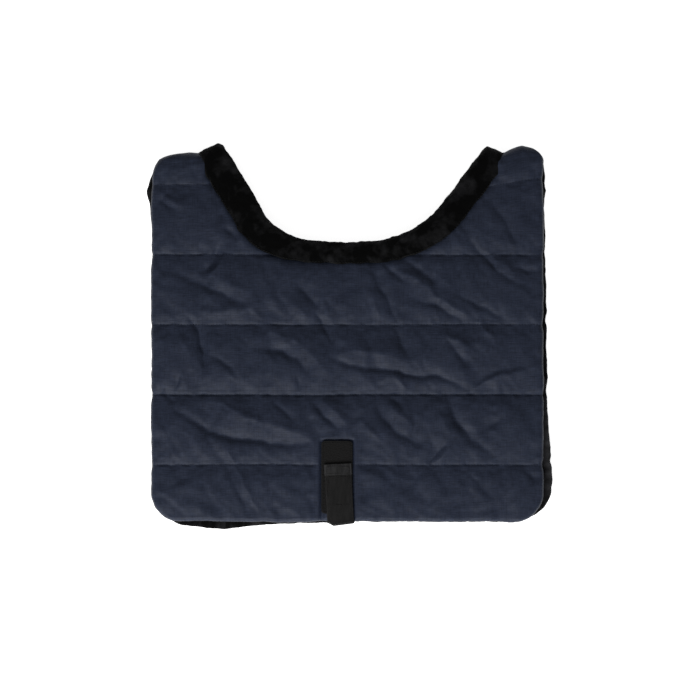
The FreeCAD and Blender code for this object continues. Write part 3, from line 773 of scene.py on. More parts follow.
def neck_line(step):
    """The right half of the neck's edge on the front, from the bottom to the crest: x, q and direction."""
    base = np.linspace(0, NECK_BASE_TURN, max(2, round(NECK_BASE_R * NECK_BASE_TURN / step)))
    bend = NECK_SLOPE - NECK_BASE_TURN
    corner = np.linspace(NECK_BASE_TURN, NECK_SLOPE, round(NECK_CORNER_R * bend / step))[1:]
    end_q = NECK_CORNER[1] + NECK_CORNER_R * math.cos(NECK_SLOPE)
    side = np.linspace(end_q, FOLD_R, round((end_q - FOLD_R) / math.sin(NECK_SLOPE) / step))[1:]
    over = np.linspace(FOLD_R, 0, 12)[1:]
    x = np.concatenate([
        NECK_BASE[0] + NECK_BASE_R * np.sin(base),
        NECK_CORNER[0] + NECK_CORNER_R * np.sin(corner),
        NECK_HALF_WIDTH - side / math.tan(NECK_SLOPE),
        NECK_HALF_WIDTH - seen_drop(over) / math.tan(NECK_SLOPE),
    ])
    q = np.concatenate([
        NECK_BASE[1] + NECK_BASE_R * np.cos(base),
        NECK_CORNER[1] + NECK_CORNER_R * np.cos(corner),
        side,
        over,
    ])
    straight = np.full(len(side), NECK_SLOPE)
    level = NECK_SLOPE + (math.pi / 2 - NECK_SLOPE) * smooth(1 - over / FOLD_R)
    return x, q, np.concatenate([base, corner, straight, level])


def both_halves(x, q, turn):
    """The neck's edge from its left end to its right end, from the right half."""
    return [np.concatenate([sign * a[:0:-1], a]) for sign, a in ((-1, x), (1, q), (-1, turn))]


def neck_ring():
    """The whole neck edge as one loop: over the front from left to right, then back over the back panel."""
    front = both_halves(*neck_line(2.2 * MM))
    return [np.concatenate([a, sign * a[-2:0:-1]]) for sign, a in zip((1, -1, 1), front)]


def make_bindings(finish):
    """The plush binding: a flattened roll round the whole neck edge, cut into two rolls and two turns."""
    x, q, turn = (a[:, None] for a in neck_ring())
    around = np.linspace(0, 2 * math.pi, 56, endpoint=False)[None, :]
    cos, sin = np.cos(around), np.sin(around)
    wide, tall = np.sign(cos) * np.abs(cos) ** ROLL_SQUARE, np.sign(sin) * np.abs(sin) ** ROLL_SQUARE
    beyond = smooth((np.abs(q) - FOLD_R) / (7 * MM))
    low = HINGE_R - PILE + (0.6 * MM - HINGE_R + PILE) * beyond
    high = THICK - 0.4 * MM
    slope = np.minimum(np.abs(turn), NECK_SLOPE)
    half = (binding_width(x, slope, seen_drop(q)) / np.cos(np.abs(turn) - slope) + 1 * MM) / 2
    side = np.where(q < 0, -1.0, 1.0)
    near_x, near_q = x + np.sin(turn) * half * (1 + wide), q + np.cos(turn) * half * (1 + wide) * side
    depth = tall * 9 * MM
    puff = 1.1 * MM * noise(near_x + depth, near_q - depth, 17 * MM, 61)
    puff = puff + 0.8 * MM * noise(near_x + depth, near_q + depth, 7 * MM, 62)
    puff = puff + 0.45 * MM * noise(near_x - depth, near_q + depth, 3.2 * MM, 63)
    # At the bottom of the neck the binding is gathered across.
    puff = puff + 0.9 * MM * smooth((q - 75 * MM) / (40 * MM)) * noise(x, q, 8 * MM, 65)
    sway = 1.2 * MM * noise(x, q, 34 * MM, 64)
    into = sway + half + (half + puff) * wide
    h = (low + high) / 2 + ((high - low) / 2 + puff * 0.8) * tall
    h = np.maximum(h, np.where(np.abs(q) < FOLD_R + 1 * MM, low, 0.15 * MM))
    ring_x = x + np.sin(turn) * into + neck_shift(seen_drop(q))
    ring_q = q + np.cos(turn) * into * side
    points = place(ring_x, ring_q, h)
    closed = np.concatenate([points[-1:], points, points[:1]])
    closed = np.concatenate([closed[:, -1:], closed, closed[:, :1]], axis=1)
    normals = -surface_normals(closed)[1:-1, 1:-1]
    rows, columns = points.shape[:2]
    uv = np.stack([near_x + depth, near_q + depth * side], -1)
    # painted sheen: the binding is painted lighter along its inner edge, towards the opening, and a little
    # darker left of the neck
    pale = 0.22 * smooth(-wide) * (0.6 + 0.8 * noise(near_x, near_q + depth, 24 * MM, 66))
    pale = pale - 0.05 * smooth((-near_x - 50 * MM) / (50 * MM)) - 0.01
    flat_q = np.broadcast_to(q[:, 0], rows)
    seam = np.flatnonzero(np.isclose(np.abs(flat_q), FOLD_R))
    spans = {
        "front_neck_roll": (seam[0], seam[1]), "right_neck_roll_turn": (seam[1], seam[2]),
        "back_neck_roll": (seam[2], seam[3]), "left_neck_roll_turn": (seam[3], seam[0] + rows),
    }
    made = {}
    for name, (first, last) in spans.items():
        pick = np.arange(first, last + 1) % rows
        faces = grid_faces(len(pick), columns, closed=True)
        piece = add_mesh(name, points[pick], faces, uv[pick], finish, normals[pick], pale[pick])
        made[name] = outward(piece)
    return made


def outward(piece):
    """Turns a closed mesh's faces to point out of it."""
    mesh = piece.data
    mesh.calc_loop_triangles()
    co = np.array([v.co for v in mesh.vertices])
    tris = np.array([t.vertices for t in mesh.loop_triangles])
    volume = np.einsum("ij,ij->i", co[tris[:, 0]], np.cross(co[tris[:, 1]], co[tris[:, 2]])).sum()
    if volume < 0:
        mesh.flip_normals()
    return piece


def hidden_turn(name, side, finish):
    """The lining side of a shoulder, inside the hinge's radius: a half round, slit at the hinge line."""
    slit, tip, radius = 0.35 * MM, HINGE_R - 0.6 * MM, HINGE_R - 0.1 * MM
    quarter = np.linspace(math.pi / 2, 0, 17)
    arc = [(radius * math.cos(a), radius * math.sin(a)) for a in quarter]
    floor = [(min(y, tip), slit) for y, _ in arc[:-1]]
    profile = arc + [(y, -z) for y, z in arc[-2::-1]] + [(y, -z) for y, z in floor]
    profile += [(tip + 0.25 * MM, 0)] + floor[::-1]
    angle = list(quarter) + list(quarter[-2::-1]) + list(quarter[:-1]) + [0] + list(quarter[-2::-1])
    y, z = np.array(profile).T
    drop, corner = FOLD_R * (1 - np.cos(angle)), CREST_CORNER_R[side]
    outer = HALF_WIDTH - 1.2 * MM - corner + np.sqrt(corner**2 - np.maximum(corner - drop, 0) ** 2)
    inner = NECK_HALF_WIDTH - (FOLD_R - y) / math.tan(NECK_SLOPE) + 2 * MM
    t = np.linspace(0, 1, 25)[:, None]
    x = (side * inner + NECK_SHIFT) * (1 - t) + side * outer * t
    points = np.stack([x, np.broadcast_to(FOLD_Y + y, x.shape), np.broadcast_to(MID_Z + z, x.shape)], -1)
    rows, columns = points.shape[:2]
    faces = grid_faces(rows, columns, closed=True)
    ends = []
    half = len(quarter) - 1
    for row, order in ((0, 1), (rows - 1, -1)):
        ring = row * columns
        upper = [(ring + k, ring + (columns - 1 - k)) for k in range(half + 1)]
        lower = [(ring + 2 * half - k, ring + 2 * half + 1 + k) for k in range(half + 1)]
        for pairs, way in ((upper, order), (lower, -order)):
            ends += [[a, b, d, c][::way] for (a, b), (c, d) in zip(pairs, pairs[1:])]
    uv = np.stack([x, np.broadcast_to(y + z, x.shape)], -1)
    return outward(add_mesh(name, points, np.concatenate([faces, np.array(ends)]), uv, finish))


# ---------------------------------------------------------------- flat strips: the strap and the tapes

def strip(name, centre, across, normal, width, thick, finish, corner=0.0, wave=0.0):
    """A closed flat strip along a centre line, with rounded edges.

    corner rounds both ends in plan. wave is how much its face rises and falls.
    """
    centre, across, normal = (np.asarray(a, float) for a in (centre, across, normal))
    length = np.concatenate([[0], np.cumsum(np.linalg.norm(np.diff(centre, axis=0), axis=1))])
    lanes = 21
    t = spread(-1, 1, lanes - 1, 0.6)
    edge = np.maximum(corner - np.minimum(length, length[-1] - length), 0)
    cut = corner - np.sqrt(np.maximum(corner**2 - edge**2, 0))
    half = (width / 2 - cut)[:, None]
    side = t[None, :] * half
    round_off = np.sqrt(np.maximum(1 - np.abs(t) ** 8, 0))[None, :]
    lift = wave * noise(length[:, None], side, 9 * MM, 91)
    lane = centre[:, None] + across[:, None] * side[..., None]
    levels = [face * thick / 2 * (0.35 + 0.65 * round_off) + lift for face in (1, -1)]
    points = np.stack([lane + normal[:, None] * level[..., None] for level in levels])
    rows = len(centre)
    count = rows * lanes
    faces = grid_faces(rows, lanes)
    rims = boundary_edges(faces)
    walls = np.stack([rims[:, 1], rims[:, 0], rims[:, 0] + count, rims[:, 1] + count], -1)
    every = np.concatenate([faces, faces[:, ::-1] + count, walls])
    uv = np.stack([side, np.broadcast_to(length[:, None], side.shape)], -1)
    return outward(add_mesh(name, points, every, np.stack([uv, uv]), finish))


def crisp(piece):
    """Keeps a strip's edges crisp."""
    piece.data.set_sharp_from_angle(angle=STRIP_EDGE)


def arc_points(centre_y, centre_z, radius, start, end, count):
    """Points of an arc in Y and Z, between two angles in degrees."""
    angles = np.radians(np.linspace(start, end, count))
    return [(centre_y + radius * math.cos(a), centre_z + radius * math.sin(a)) for a in angles]


def stitches(name, paths, finish, pitch, length, radius):
    """A row of separate stitches along each path, lying along it and a little sunk at both ends."""
    around, rings = 6, 5
    angles = np.linspace(0, 2 * math.pi, around, endpoint=False)
    t = np.linspace(-1, 1, rings)
    points, faces, uv = [], [], []
    base = 0
    for path, up in paths:
        steps = np.linalg.norm(np.diff(path, axis=0), axis=1)
        run = np.concatenate([[0], np.cumsum(steps)])
        count = max(1, int(run[-1] / pitch))
        for middle in (np.arange(count) + 0.5) * run[-1] / count:
            start, end = (
                np.array([np.interp(middle + d, run, path[:, k]) for k in range(3)])
                for d in (-length / 2, length / 2)
            )
            along = end - start
            size = np.linalg.norm(along)
            if size < 1e-9:
                continue
            along /= size
            side = np.cross(along, up)
            side /= max(np.linalg.norm(side), 1e-9)
            lift = np.cross(side, along)
            for k, s in enumerate(t):
                fat = radius * math.sqrt(max(1 - s**4, 0.02))
                core = (start + end) / 2 + along * size / 2 * s + lift * (0.25 - 0.9 * s**4) * radius
                for a in angles:
                    points.append(core + side * math.cos(a) * fat + lift * math.sin(a) * fat)
                    uv.append((middle + s * length / 2, a * radius))
            last = base + (rings - 1) * around
            for ring in range(base, last, around):
                for m in range(around):
                    a, b = ring + m, ring + (m + 1) % around
                    faces.append((a, b, b + around, a + around))
            faces += [(base, base + 3, base + 2, base + 1), (base, base + 5, base + 4, base + 3)]
            faces += [(last, last + 1, last + 2, last + 3), (last, last + 3, last + 4, last + 5)]
            base += rings * around
    return add_mesh(name, points, faces, uv, finish)


def seam_paths(sign):
    """The quilting thread's lines in the seams' valleys, broken where the neck is."""
    up = UP * sign
    paths = []
    for seam in SEAMS:
        reach = min(half_width(np.array([seam]), side)[0] for side in (-1, 1)) - 5 * MM
        x = np.arange(-reach, reach, 1.5 * MM)
        q = np.full_like(x, seam * sign)
        clear = past_binding(x, q) > 1 * MM
        points = shell_points(x[None, :], q[None, :])[0] + up * 0.1 * MM
        cuts = np.flatnonzero(np.diff(clear.astype(int))) + 1
        for piece, kept in zip(np.split(points, cuts), np.split(clear, cuts)):
            if kept.all() and len(piece) > 4:
                paths.append((piece, up))
    return paths


def binding_paths(sign):
    """The line of stitches that holds the binding, in its outer edge."""
    half_x, half_q, half_turn = neck_line(1.5 * MM)
    on_panel = half_q > FOLD_R + 1 * MM
    x, q, turn = both_halves(half_x[on_panel], half_q[on_panel], half_turn[on_panel])
    into = binding_width(x, turn, seen_drop(q)) - 1.0 * MM
    middle = neck_shift(seen_drop(q))
    points = place(x + np.sin(turn) * into + middle, (q + np.cos(turn) * into) * sign, THICK - 2.2 * MM)
    return [(points, UP * sign)]


def rounded_loop(centre_x, low_y, high_y, width, corner, z):
    """A closed rounded rectangle in plan, as a path."""
    half = width / 2
    centres = [
        (centre_x + half - corner, high_y - corner, 0), (centre_x - half + corner, high_y - corner, 90),
        (centre_x - half + corner, low_y + corner, 180), (centre_x + half - corner, low_y + corner, 270),
    ]
    points = []
    for x, y, start in centres:
        for a in np.radians(np.linspace(start, start + 90, 7)):
            points.append((x + corner * math.cos(a), y + corner * math.sin(a), z))
    points.append(points[0])
    return np.array(points)


# ---------------------------------------------------------------- materials

def shade(colour, share):
    """A darker or lighter colour of the same hue."""
    return tuple(c * share for c in colour)


def new_material(name, colour, rough, sheen=0.0, specular=0.12):
    """A material of one colour, with its node tree and its Principled shader."""
    material = bpy.data.materials.new(name)
    material.use_nodes = True
    tree = material.node_tree
    shader = tree.nodes["Principled BSDF"]
    shader.inputs["Base Color"].default_value = (*colour, 1)
    shader.inputs["Roughness"].default_value = rough
    shader.inputs["Specular IOR Level"].default_value = specular
    shader.inputs["Sheen Weight"].default_value = sheen
    shader.inputs["Sheen Roughness"].default_value = 0.5
    return material, tree, shader


def cloth_coordinates(tree):
    """The cloth's own x and q, in metres."""
    uv = tree.nodes.new("ShaderNodeUVMap")
    uv.uv_map = "cloth"
    return uv.outputs["UV"]


def split(tree, vector):
    """The first two coordinates of a vector."""
    node = tree.nodes.new("ShaderNodeSeparateXYZ")
    tree.links.new(vector, node.inputs[0])
    return node.outputs["X"], node.outputs["Y"]


def calc(tree, operation, a, b=0.0, c=0.0):
    """A maths node. Each input is a socket or a number."""
    node = tree.nodes.new("ShaderNodeMath")
    node.operation = operation
    for socket, value in zip(node.inputs, (a, b, c)):
        if isinstance(value, (int, float)):
            socket.default_value = value
        else:
            tree.links.new(value, socket)
    return node.outputs[0]


def cloud(tree, vector, scale, detail=2.0, rough=0.5, stretch=(1, 1, 1)):
    """Noise from 0 to 1 with about scale hills to a metre."""
    mapping = tree.nodes.new("ShaderNodeMapping")
    mapping.inputs["Scale"].default_value = stretch
    tree.links.new(vector, mapping.inputs["Vector"])
    node = tree.nodes.new("ShaderNodeTexNoise")
    node.inputs["Scale"].default_value = scale
    node.inputs["Detail"].default_value = detail
    node.inputs["Roughness"].default_value = rough
    tree.links.new(mapping.outputs["Vector"], node.inputs["Vector"])
    return node.outputs["Fac"]


def waves(tree, coordinate, pitch):
    """A sine from 0 to 1 along one coordinate."""
    turned = calc(tree, "MULTIPLY", coordinate, 2 * math.pi / pitch)
    return calc(tree, "MULTIPLY_ADD", calc(tree, "SINE", turned), 0.5, 0.5)


def thin_line(tree, coordinate, pitch, width):
    """1 on thin lines that are a pitch apart, and 0 between them."""
    part = calc(tree, "PINGPONG", coordinate, pitch / 2)
    return calc(tree, "LESS_THAN", part, width / 2)


def tint(tree, shader, factor, dark, light):
    """Colours the shader from dark to light by a factor."""
    ramp = tree.nodes.new("ShaderNodeValToRGB")
    ramp.color_ramp.elements[0].color = (*dark, 1)
    ramp.color_ramp.elements[1].color = (*light, 1)
    tree.links.new(factor, ramp.inputs["Fac"])
    tree.links.new(ramp.outputs["Color"], shader.inputs["Base Color"])


def bump(tree, shader, height, strength, distance):
    """Fine relief on top of the mesh's own."""
    node = tree.nodes.new("ShaderNodeBump")
    node.inputs["Strength"].default_value = strength
    node.inputs["Distance"].default_value = distance
    tree.links.new(height, node.inputs["Height"])
    tree.links.new(node.outputs["Normal"], shader.inputs["Normal"])


def make_shell_fabric():
    """Navy ripstop: a fine mottled weave with a thin grid of heavier threads."""
    material, tree, shader = new_material("navy_ripstop", NAVY, 0.55)
    cloth = cloth_coordinates(tree)
    x, q = split(tree, cloth)
    upright, level = (thin_line(tree, along, 6.6 * MM, 0.5 * MM) for along in (x, q))
    grid = calc(tree, "MAXIMUM", upright, level)
    across = cloud(tree, cloth, 75, 3, 0.65, (1, 9, 1))
    down = cloud(tree, cloth, 75, 3, 0.65, (9, 1, 1))
    weave = calc(tree, "ADD", calc(tree, "MULTIPLY", across, 0.62), calc(tree, "MULTIPLY", down, 0.38))
    mottle = calc(tree, "MULTIPLY_ADD", cloud(tree, cloth, 24, 3, 0.6), 0.35, -0.175)
    tone = calc(tree, "ADD", calc(tree, "MULTIPLY_ADD", weave, 3.0, -1.0), mottle)
    tone = calc(tree, "SUBTRACT", tone, calc(tree, "MULTIPLY", grid, 0.16))
    tint(tree, shader, tone, shade(NAVY, 0.62), shade(NAVY, 1.42))
    height = calc(tree, "SUBTRACT", weave, calc(tree, "MULTIPLY", grid, 0.5))
    bump(tree, shader, height, 0.35, 0.0007)
    return material


def make_plush(name, colour, cell):
    """Deep plush: soft clumps with a fine pile over them."""
    material, tree, shader = new_material(name, colour, 0.95, 0.04, 0.04)
    cloth = cloth_coordinates(tree)
    clumps = cloud(tree, cloth, 1 / cell, 4, 0.62)
    pile = cloud(tree, cloth, 1400, 2, 0.5)
    brushed = cloud(tree, cloth, 40, 2, 0.5)
    tone = calc(tree, "MULTIPLY_ADD", clumps, 1.8, -1.0)
    tone = calc(tree, "ADD", tone, calc(tree, "MULTIPLY_ADD", brushed, 4.2, -1.85))
    tone = calc(tree, "ADD", tone, calc(tree, "MULTIPLY_ADD", pile, 0.6, -0.3))
    # painted sheen: the pale attribute lightens the plush on the binding's inner edge and at the back
    # lining's right-hand edge
    painted_sheen_node = tree.nodes.new("ShaderNodeAttribute")
    painted_sheen_node.attribute_name = "pale"
    tone = calc(tree, "MULTIPLY_ADD", tone, 0.2, calc(tree, "MULTIPLY", painted_sheen_node.outputs["Fac"], 0.8))
    tint(tree, shader, tone, shade(colour, 0.25), shade(colour, 16))
    height = calc(tree, "ADD", clumps, calc(tree, "MULTIPLY", pile, 0.25))
    bump(tree, shader, height, 0.9, 0.0022)
    return material


def make_webbing(name, colour):
    """Ribbed webbing: close ribs across it, in a plain weave."""
    material, tree, shader = new_material(name, colour, 0.62)
    cloth = cloth_coordinates(tree)
    x, run = split(tree, cloth)
    ribs = waves(tree, run, 1.3 * MM)
    lanes = waves(tree, x, 1.9 * MM)
    crossed = calc(tree, "MULTIPLY", ribs, lanes)
    weave = calc(tree, "MULTIPLY_ADD", crossed, 0.6, calc(tree, "MULTIPLY", ribs, 0.4))
    grain = cloud(tree, cloth, 700, 2)
    worn = cloud(tree, cloth, 32, 3, 0.6, (4.5, 1, 1))
    # painted highlight: both edges of the webbing are painted lighter, where they catch the light
    painted_edge_highlight = calc(tree, "GREATER_THAN", calc(tree, "ABSOLUTE", x), 17.3 * MM)
    tone = calc(tree, "MULTIPLY_ADD", weave, 0.4, calc(tree, "MULTIPLY", grain, 0.3))
    tone = calc(tree, "ADD", tone, calc(tree, "MULTIPLY_ADD", worn, 2.4, -1.1))
    tone = calc(tree, "MULTIPLY_ADD", painted_edge_highlight, 0.6, tone)
    tint(tree, shader, tone, shade(colour, 0.45), shade(colour, 1.65))
    bump(tree, shader, weave, 0.6, 0.0005)
    return material


def make_tape(name, colour, cell):
    """The face of a hook or loop tape: a dense mat of tiny loops or hooks."""
    material, tree, shader = new_material(name, colour, 0.9, 0.1, 0.2)
    cloth = cloth_coordinates(tree)
    spots = tree.nodes.new("ShaderNodeTexVoronoi")
    spots.inputs["Scale"].default_value = 1 / cell
    tree.links.new(cloth, spots.inputs["Vector"])
    grain = cloud(tree, cloth, 300, 4, 0.7)
    mat = calc(tree, "MULTIPLY", spots.outputs["Distance"], 0.7)
    tone = calc(tree, "ADD", mat, calc(tree, "MULTIPLY", grain, 0.7))
    tint(tree, shader, tone, shade(colour, 1.5), shade(colour, 0.45))
    height = calc(tree, "SUBTRACT", grain, spots.outputs["Distance"])
    bump(tree, shader, height, 0.8, 0.0008)
    return material


def make_thread(name, colour):
    """Twisted polyester thread."""
    material, tree, shader = new_material(name, colour, 0.5)
    x, run = split(tree, cloth_coordinates(tree))
    twist = waves(tree, calc(tree, "ADD", x, run), 0.9 * MM)
    tint(tree, shader, twist, shade(colour, 0.6), shade(colour, 1.3))
    return material


def make_wadding_fill():
    """White polyester wadding."""
    material, tree, shader = new_material("wadding_fill", (0.75, 0.75, 0.73), 1.0)
    cloth = cloth_coordinates(tree)
    fibres = cloud(tree, cloth, 180, 5, 0.7)
    tint(tree, shader, fibres, (0.55, 0.55, 0.54), (0.85, 0.85, 0.84))
    bump(tree, shader, fibres, 0.8, 0.002)
    return material


shell_fabric = make_shell_fabric()
binding_plush = make_plush("binding_plush", PLUSH_BLACK, 9 * MM)
lining_plush = make_plush("lining_plush", shade(PLUSH_BLACK, 1.6), 7 * MM)
strap_webbing = make_webbing("strap_webbing", WEB_BLACK)
# painted sheen: the folded end's webbing is the strap's own, made lighter for its shine
sheen_lit_tab_webbing = make_webbing("sheen_lit_tab_webbing", SHEEN_LIT_FOLDED_WEB)
loop_face = make_tape("loop_face", TAPE_BLACK, 1.4 * MM)
hook_face = make_tape("hook_face", shade(TAPE_BLACK, 0.8), 1.0 * MM)
navy_thread = make_thread("navy_thread", shade(NAVY, 0.9))
black_thread = make_thread("black_thread", THREAD_BLACK)
wadding_fill = make_wadding_fill()


# ---------------------------------------------------------------- putting it together

def finish_piece(piece, body=None, nodes=()):
    """Attaches a piece to the body it rides on, or else fixes it where it is, and hides the CAD nodes it
    stands for.
    """
    if body:
        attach(piece, body)
    else:
        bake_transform(piece)
    if nodes:
        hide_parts(*nodes)


def sew(name, paths, radius, body, node):
    """Lines of black stitches on the strap or a tape."""
    thread = stitches(name, paths, black_thread, *TAPE_STITCH, radius)
    finish_piece(thread, body, nodes=[node])


CRUMPLE = crumple_map()
shells = make_shells(shell_fabric)
for name, _ in PANELS:
    piece = shells[name + "_shell_quilt"]
    finish_piece(piece, name + "_panel", nodes=[name + "_shell"])
for side, _ in SIDES:
    piece = shells[side + "_shoulder_turn"]
    finish_piece(piece, nodes=[side + "_shoulder_fold"])

for name, sign in PANELS:
    lining = make_lining(name + "_lining_plush", sign, lining_plush)
    finish_piece(lining, name + "_panel", nodes=[name + "_lining"])
    wadding = make_wadding(name + "_wadding_fill", sign, wadding_fill)
    finish_piece(wadding, name + "_panel", nodes=[name + "_wadding"])

rolls = make_bindings(binding_plush)
for name, _ in PANELS:
    piece = rolls[name + "_neck_roll"]
    finish_piece(piece, name + "_panel", nodes=[name + "_neck_binding"])
for side, sign in SIDES:
    piece = rolls[side + "_neck_roll_turn"]
    finish_piece(piece, nodes=[side + "_binding_fold"])
    inside = hidden_turn(side + "_lining_turn", sign, lining_plush)
    finish_piece(inside)

for name, sign in PANELS:
    quilting = stitches(name + "_quilt_stitches", seam_paths(sign), navy_thread, *SEAM_STITCH, 0.36 * MM)
    finish_piece(quilting, name + "_panel", nodes=[name + "_quilt_thread"])
    edge = stitches(name + "_binding_stitches", binding_paths(sign), black_thread, *SEAM_STITCH, 0.36 * MM)
    finish_piece(edge, name + "_panel", nodes=[name + "_binding_thread"])


# ---------------------------------------------------------------- the closure strap

def strap_route():
    """The strap's middle line in Y and Z from its free end round the hem to its end on the lining."""
    rise = STRAP_TOP_Z - STRAP_END_Z
    free_run = np.linspace(0, 58 * MM, 30)
    free = [(STRAP_END_Y - d, STRAP_END_Z + rise * smooth(d / (16 * MM))) for d in free_run]
    y, z = free[-1]
    for t in np.linspace(0, 1, 16)[1:]:
        free.append((y + (BEND_Y - y) * t, z + (STRAP_END_Z - z) * smooth(t)))
    return {
        "free": free,
        "upper": arc_points(BEND_Y, STRAP_END_Z - BEND_R, BEND_R, 90, 180, 9),
        "rise": [(BEND_Y - BEND_R, z) for z in np.linspace(STRAP_END_Z - BEND_R, STRAP_LOW_Z + BEND_R, 8)],
        "lower": arc_points(BEND_Y, STRAP_LOW_Z + BEND_R, BEND_R, 180, 270, 9),
        "anchor": [(y, STRAP_LOW_Z) for y in np.linspace(BEND_Y, ANCHOR_END_Y, 26)],
    }


def unit_tangents(line):
    """The direction of a line of points in Y and Z, at each point."""
    tangent = np.gradient(line, axis=0)
    return tangent / np.hypot(*tangent.T)[:, None]


def strap_piece(name, route, before):
    """A strip along part of the strap's route. before is how far down the strap the part starts."""
    line = np.array(route)
    run = before + np.concatenate([[0], np.cumsum(np.hypot(*np.diff(line, axis=0).T))])
    centre = np.column_stack([STRAP_TOP_X + STRAP_LEAN * run, line])
    tangent = unit_tangents(line)
    normal = np.column_stack([np.zeros(len(line)), tangent[:, 1], -tangent[:, 0]])
    along = np.column_stack([np.full(len(line), STRAP_LEAN), tangent])
    along /= np.linalg.norm(along, axis=1, keepdims=True)
    across = np.cross(along, normal)
    across *= np.sign(across[:, :1])
    piece = strip(name, centre, across, normal, STRAP_W, STRAP_T, strap_webbing)
    # Where the strap goes round the hem it slants, and its left corner is drawn up.
    for vertex in piece.data.vertices:
        x = vertex.co.x - STRAP_TOP_X - STRAP_LEAN * 90 * MM
        past_hem = smooth((SHELL_LOW.y - 0.25 * MM - vertex.co.y) / (7 * MM))
        slant = 0.13 * x + CORNER_LIFT * smooth((-9 * MM - x) / (10 * MM))
        vertex.co.y += float(past_hem * slant)
    crisp(piece)
    return piece, run[-1]


def make_strap():
    """The strap in five parts, with a bent one at each of its two hinges."""
    route = strap_route()
    turn_up = ("strap_turn", "closure_strap", (0, *route["upper"][-1]), (0, *route["upper"][0]))
    turn_low = ("front_panel", "strap_turn", (0, *route["lower"][-1]), (0, *route["lower"][0]))
    parts = (
        ("free", "strap_top", "closure_strap", None, ["strap_free"]),
        ("upper", "strap_upper_bend", None, turn_up, ()),
        ("rise", "strap_rise", "strap_turn", None, ["strap_turn"]),
        ("lower", "strap_lower_bend", None, turn_low, ()),
        ("anchor", "strap_sewn_end", "front_panel", None, ["strap_anchor"]),
    )
    reached = 0.0
    for part, name, body, bend, nodes in parts:
        piece, reached = strap_piece(name, route[part], reached)
        finish_piece(piece, body, nodes)


def make_folded_end():
    """The strap's free end, folded back on itself and sewn down as a grip."""
    gap = STRAP_T + 0.15 * MM
    lift = 0.25 * MM
    turn = arc_points(STRAP_END_Y, STRAP_END_Z + gap / 2, gap / 2, -90, 90, 11)
    back_run = np.linspace(0, 15 * MM, 12)[1:]
    back = [(STRAP_END_Y - d, STRAP_END_Z + gap + lift * smooth(d / (14 * MM))) for d in back_run]
    line = np.array([(STRAP_END_Y - 2 * MM, STRAP_END_Z), *turn, *back])
    centre = np.column_stack([STRAP_TOP_X + STRAP_LEAN * (STRAP_END_Y - line[:, 0]), line])
    tangent = unit_tangents(line)
    normal = np.column_stack([np.zeros(len(line)), -tangent[:, 1], tangent[:, 0]])
    across = np.tile([1.0, STRAP_LEAN, 0.0], (len(line), 1)) / math.hypot(1, STRAP_LEAN)
    piece = strip("strap_folded_end", centre, across, normal, STRAP_W + 0.8 * MM, STRAP_T, sheen_lit_tab_webbing)
    crisp(piece)
    finish_piece(piece, "closure_strap", nodes=["pull_tab"])
    top = STRAP_END_Z + gap + STRAP_T / 2 + lift
    low_y, high_y = STRAP_END_Y - 12.5 * MM, STRAP_END_Y - 2.5 * MM
    loop = rounded_loop(STRAP_TOP_X + 0.6 * MM, low_y, high_y, 32 * MM, 1.5 * MM, top)
    sew("folded_end_stitches", [(loop, UP)], 0.25 * MM, "closure_strap", "pull_tab_thread")


def flat_tape(name, middle_x, low_y, high_y, width, thick, z, lean, finish, corner):
    """A flat tape that lies along the strap."""
    y = np.concatenate([
        high_y - spread(0, corner, 6, 0.9)[:-1], np.linspace(high_y - corner, low_y + corner, 26),
        low_y + corner - spread(0, corner, 6, 0.9)[1:],
    ])
    centre = np.column_stack([middle_x + lean * (high_y - y), y, np.full(len(y), z)])
    size = math.hypot(1, lean)
    across = np.tile([1 / size, lean / size, 0], (len(y), 1))
    normal = np.tile(UP, (len(y), 1))
    piece = strip(name, centre, across, normal, width, thick, finish, corner, 0.12 * MM)
    crisp(piece)
    return piece


def make_loop_tape():
    """The loop tape on the front panel, sewn down into the quilt all round."""
    low_y, high_y = TAPE_LOW.y - 5 * MM, CREST_Y - TAPE_TOP_Q
    sunk = 0.7 * MM
    middle_z = FLAT_Z + (TAPE_T - sunk) / 2
    tape = flat_tape(
        "loop_tape_patch", TAPE_X, low_y, high_y, TAPE_W, TAPE_T + sunk, middle_z, 0, loop_face, 5 * MM)
    finish_piece(tape, "front_panel", nodes=["loop_tape"])
    inset = 2.5 * MM
    top = FLAT_Z + TAPE_T + 0.1 * MM
    loop = rounded_loop(TAPE_X, low_y + inset, high_y - inset, TAPE_W - 2 * inset, 3 * MM, top)
    sew("loop_tape_stitches", [(loop, UP)], 0.26 * MM, "front_panel", "loop_tape_thread")


def make_hook_tape():
    """The hook tape under the strap. Its stitches show on the strap's face."""
    low_y, high_y = HOOK_LOW.y - 5 * MM, HOOK_HIGH.y - 5 * MM
    middle_x = STRAP_TOP_X + STRAP_LEAN * (STRAP_END_Y - high_y)
    middle_z = FLAT_Z + TAPE_T + HOOK_T / 2
    width = STRAP_W - 1.5 * MM
    tape = flat_tape(
        "hook_tape_patch", middle_x, low_y, high_y, width, HOOK_T, middle_z, STRAP_LEAN, hook_face, 2 * MM)
    finish_piece(tape, "closure_strap", nodes=["hook_tape"])
    inset = 2.5 * MM
    top = STRAP_TOP_Z + STRAP_T / 2 + 0.05 * MM
    loop = rounded_loop(middle_x + 1.2 * MM, low_y + inset, high_y - inset, 31 * MM, 1.5 * MM, top)
    sew("hook_tape_stitches", [(loop, UP)], 0.25 * MM, "closure_strap", "hook_tape_thread")


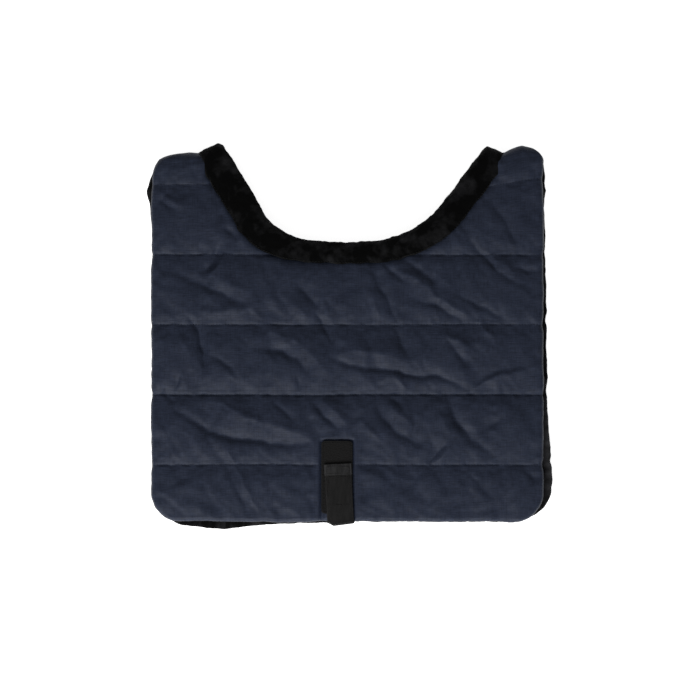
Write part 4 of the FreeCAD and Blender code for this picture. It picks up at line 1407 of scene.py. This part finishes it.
def make_anchor_stitches():
    """The box of stitches that holds the strap's other end to the lining, seen from the lining side."""
    z = STRAP_LOW_Z - STRAP_T / 2 - 0.02 * MM
    low_y, high_y = ANCHOR_END_Y - 42 * MM, ANCHOR_END_Y - 4 * MM
    middle = STRAP_TOP_X + STRAP_LEAN * 175 * MM
    lines = [rounded_loop(middle, low_y, high_y, 30 * MM, 1.5 * MM, z)]
    for half in (14.5 * MM, -14.5 * MM):
        start, end = (middle - half, low_y + 0.5 * MM, z), (middle + half, high_y - 0.5 * MM, z)
        lines.append(np.linspace(start, end, 30))
    paths = [(line, -UP) for line in lines]
    sew("strap_anchor_stitches", paths, 0.25 * MM, "front_panel", "strap_anchor_thread")


make_strap()
make_folded_end()
make_loop_tape()
make_hook_tape()
make_anchor_stitches()


# ---------------------------------------------------------------- floor, light and camera

def make_floor():
    """A plain pale floor that glows a little, so that it stays white."""
    size, z = FLOOR_SIZE, cad_box[0].z - FLOOR_GAP
    corners = [(-size, -size, z), (size, -size, z), (size, size, z), (-size, size, z)]
    material, _, shader = new_material("white_floor", (0.9, 0.9, 0.9), 1.0, specular=0.0)
    shader.inputs["Emission Color"].default_value = (1, 1, 1, 1)
    shader.inputs["Emission Strength"].default_value = FLOOR_GLOW
    add_mesh("white_floor", corners, [(0, 1, 2, 3)], [(0, 0)] * 4, material)


def make_area_light(name, direction, distance, size, power):
    """A square soft light that looks at the middle of the bib."""
    lamp = bpy.data.lights.new(name, "AREA")
    lamp.shape, lamp.size, lamp.energy = "SQUARE", size, power
    light = bpy.data.objects.new(name, lamp)
    bpy.context.scene.collection.objects.link(light)
    way = Vector(direction).normalized()
    light.location = way * distance
    light.rotation_mode = "QUATERNION"
    light.rotation_quaternion = way.to_track_quat("Z", "Y")


def make_camera():
    """The camera, which looks straight down."""
    camera = bpy.data.objects.new("camera", bpy.data.cameras.new("camera"))
    bpy.context.scene.collection.objects.link(camera)
    camera.location = (*CAMERA_AT, SHELL_HIGH.z + CAMERA_DISTANCE)
    camera.data.sensor_width = SENSOR
    camera.data.lens = SENSOR * CAMERA_DISTANCE / FRAME_WIDTH
    camera.data.clip_end = 20
    bpy.context.scene.camera = camera


def make_sky():
    """Even white light from all round."""
    world = bpy.data.worlds.new("studio")
    bpy.context.scene.world = world
    world.use_nodes = True
    background = world.node_tree.nodes["Background"]
    background.inputs["Color"].default_value = (1, 1, 1, 1)
    background.inputs["Strength"].default_value = SKY_GLOW


bpy.context.scene.view_settings.view_transform = "Standard"
make_sky()
make_floor()
make_area_light("key", (-0.30, -1.0, 0.72), 2.8, 1.5, 92)
make_camera()
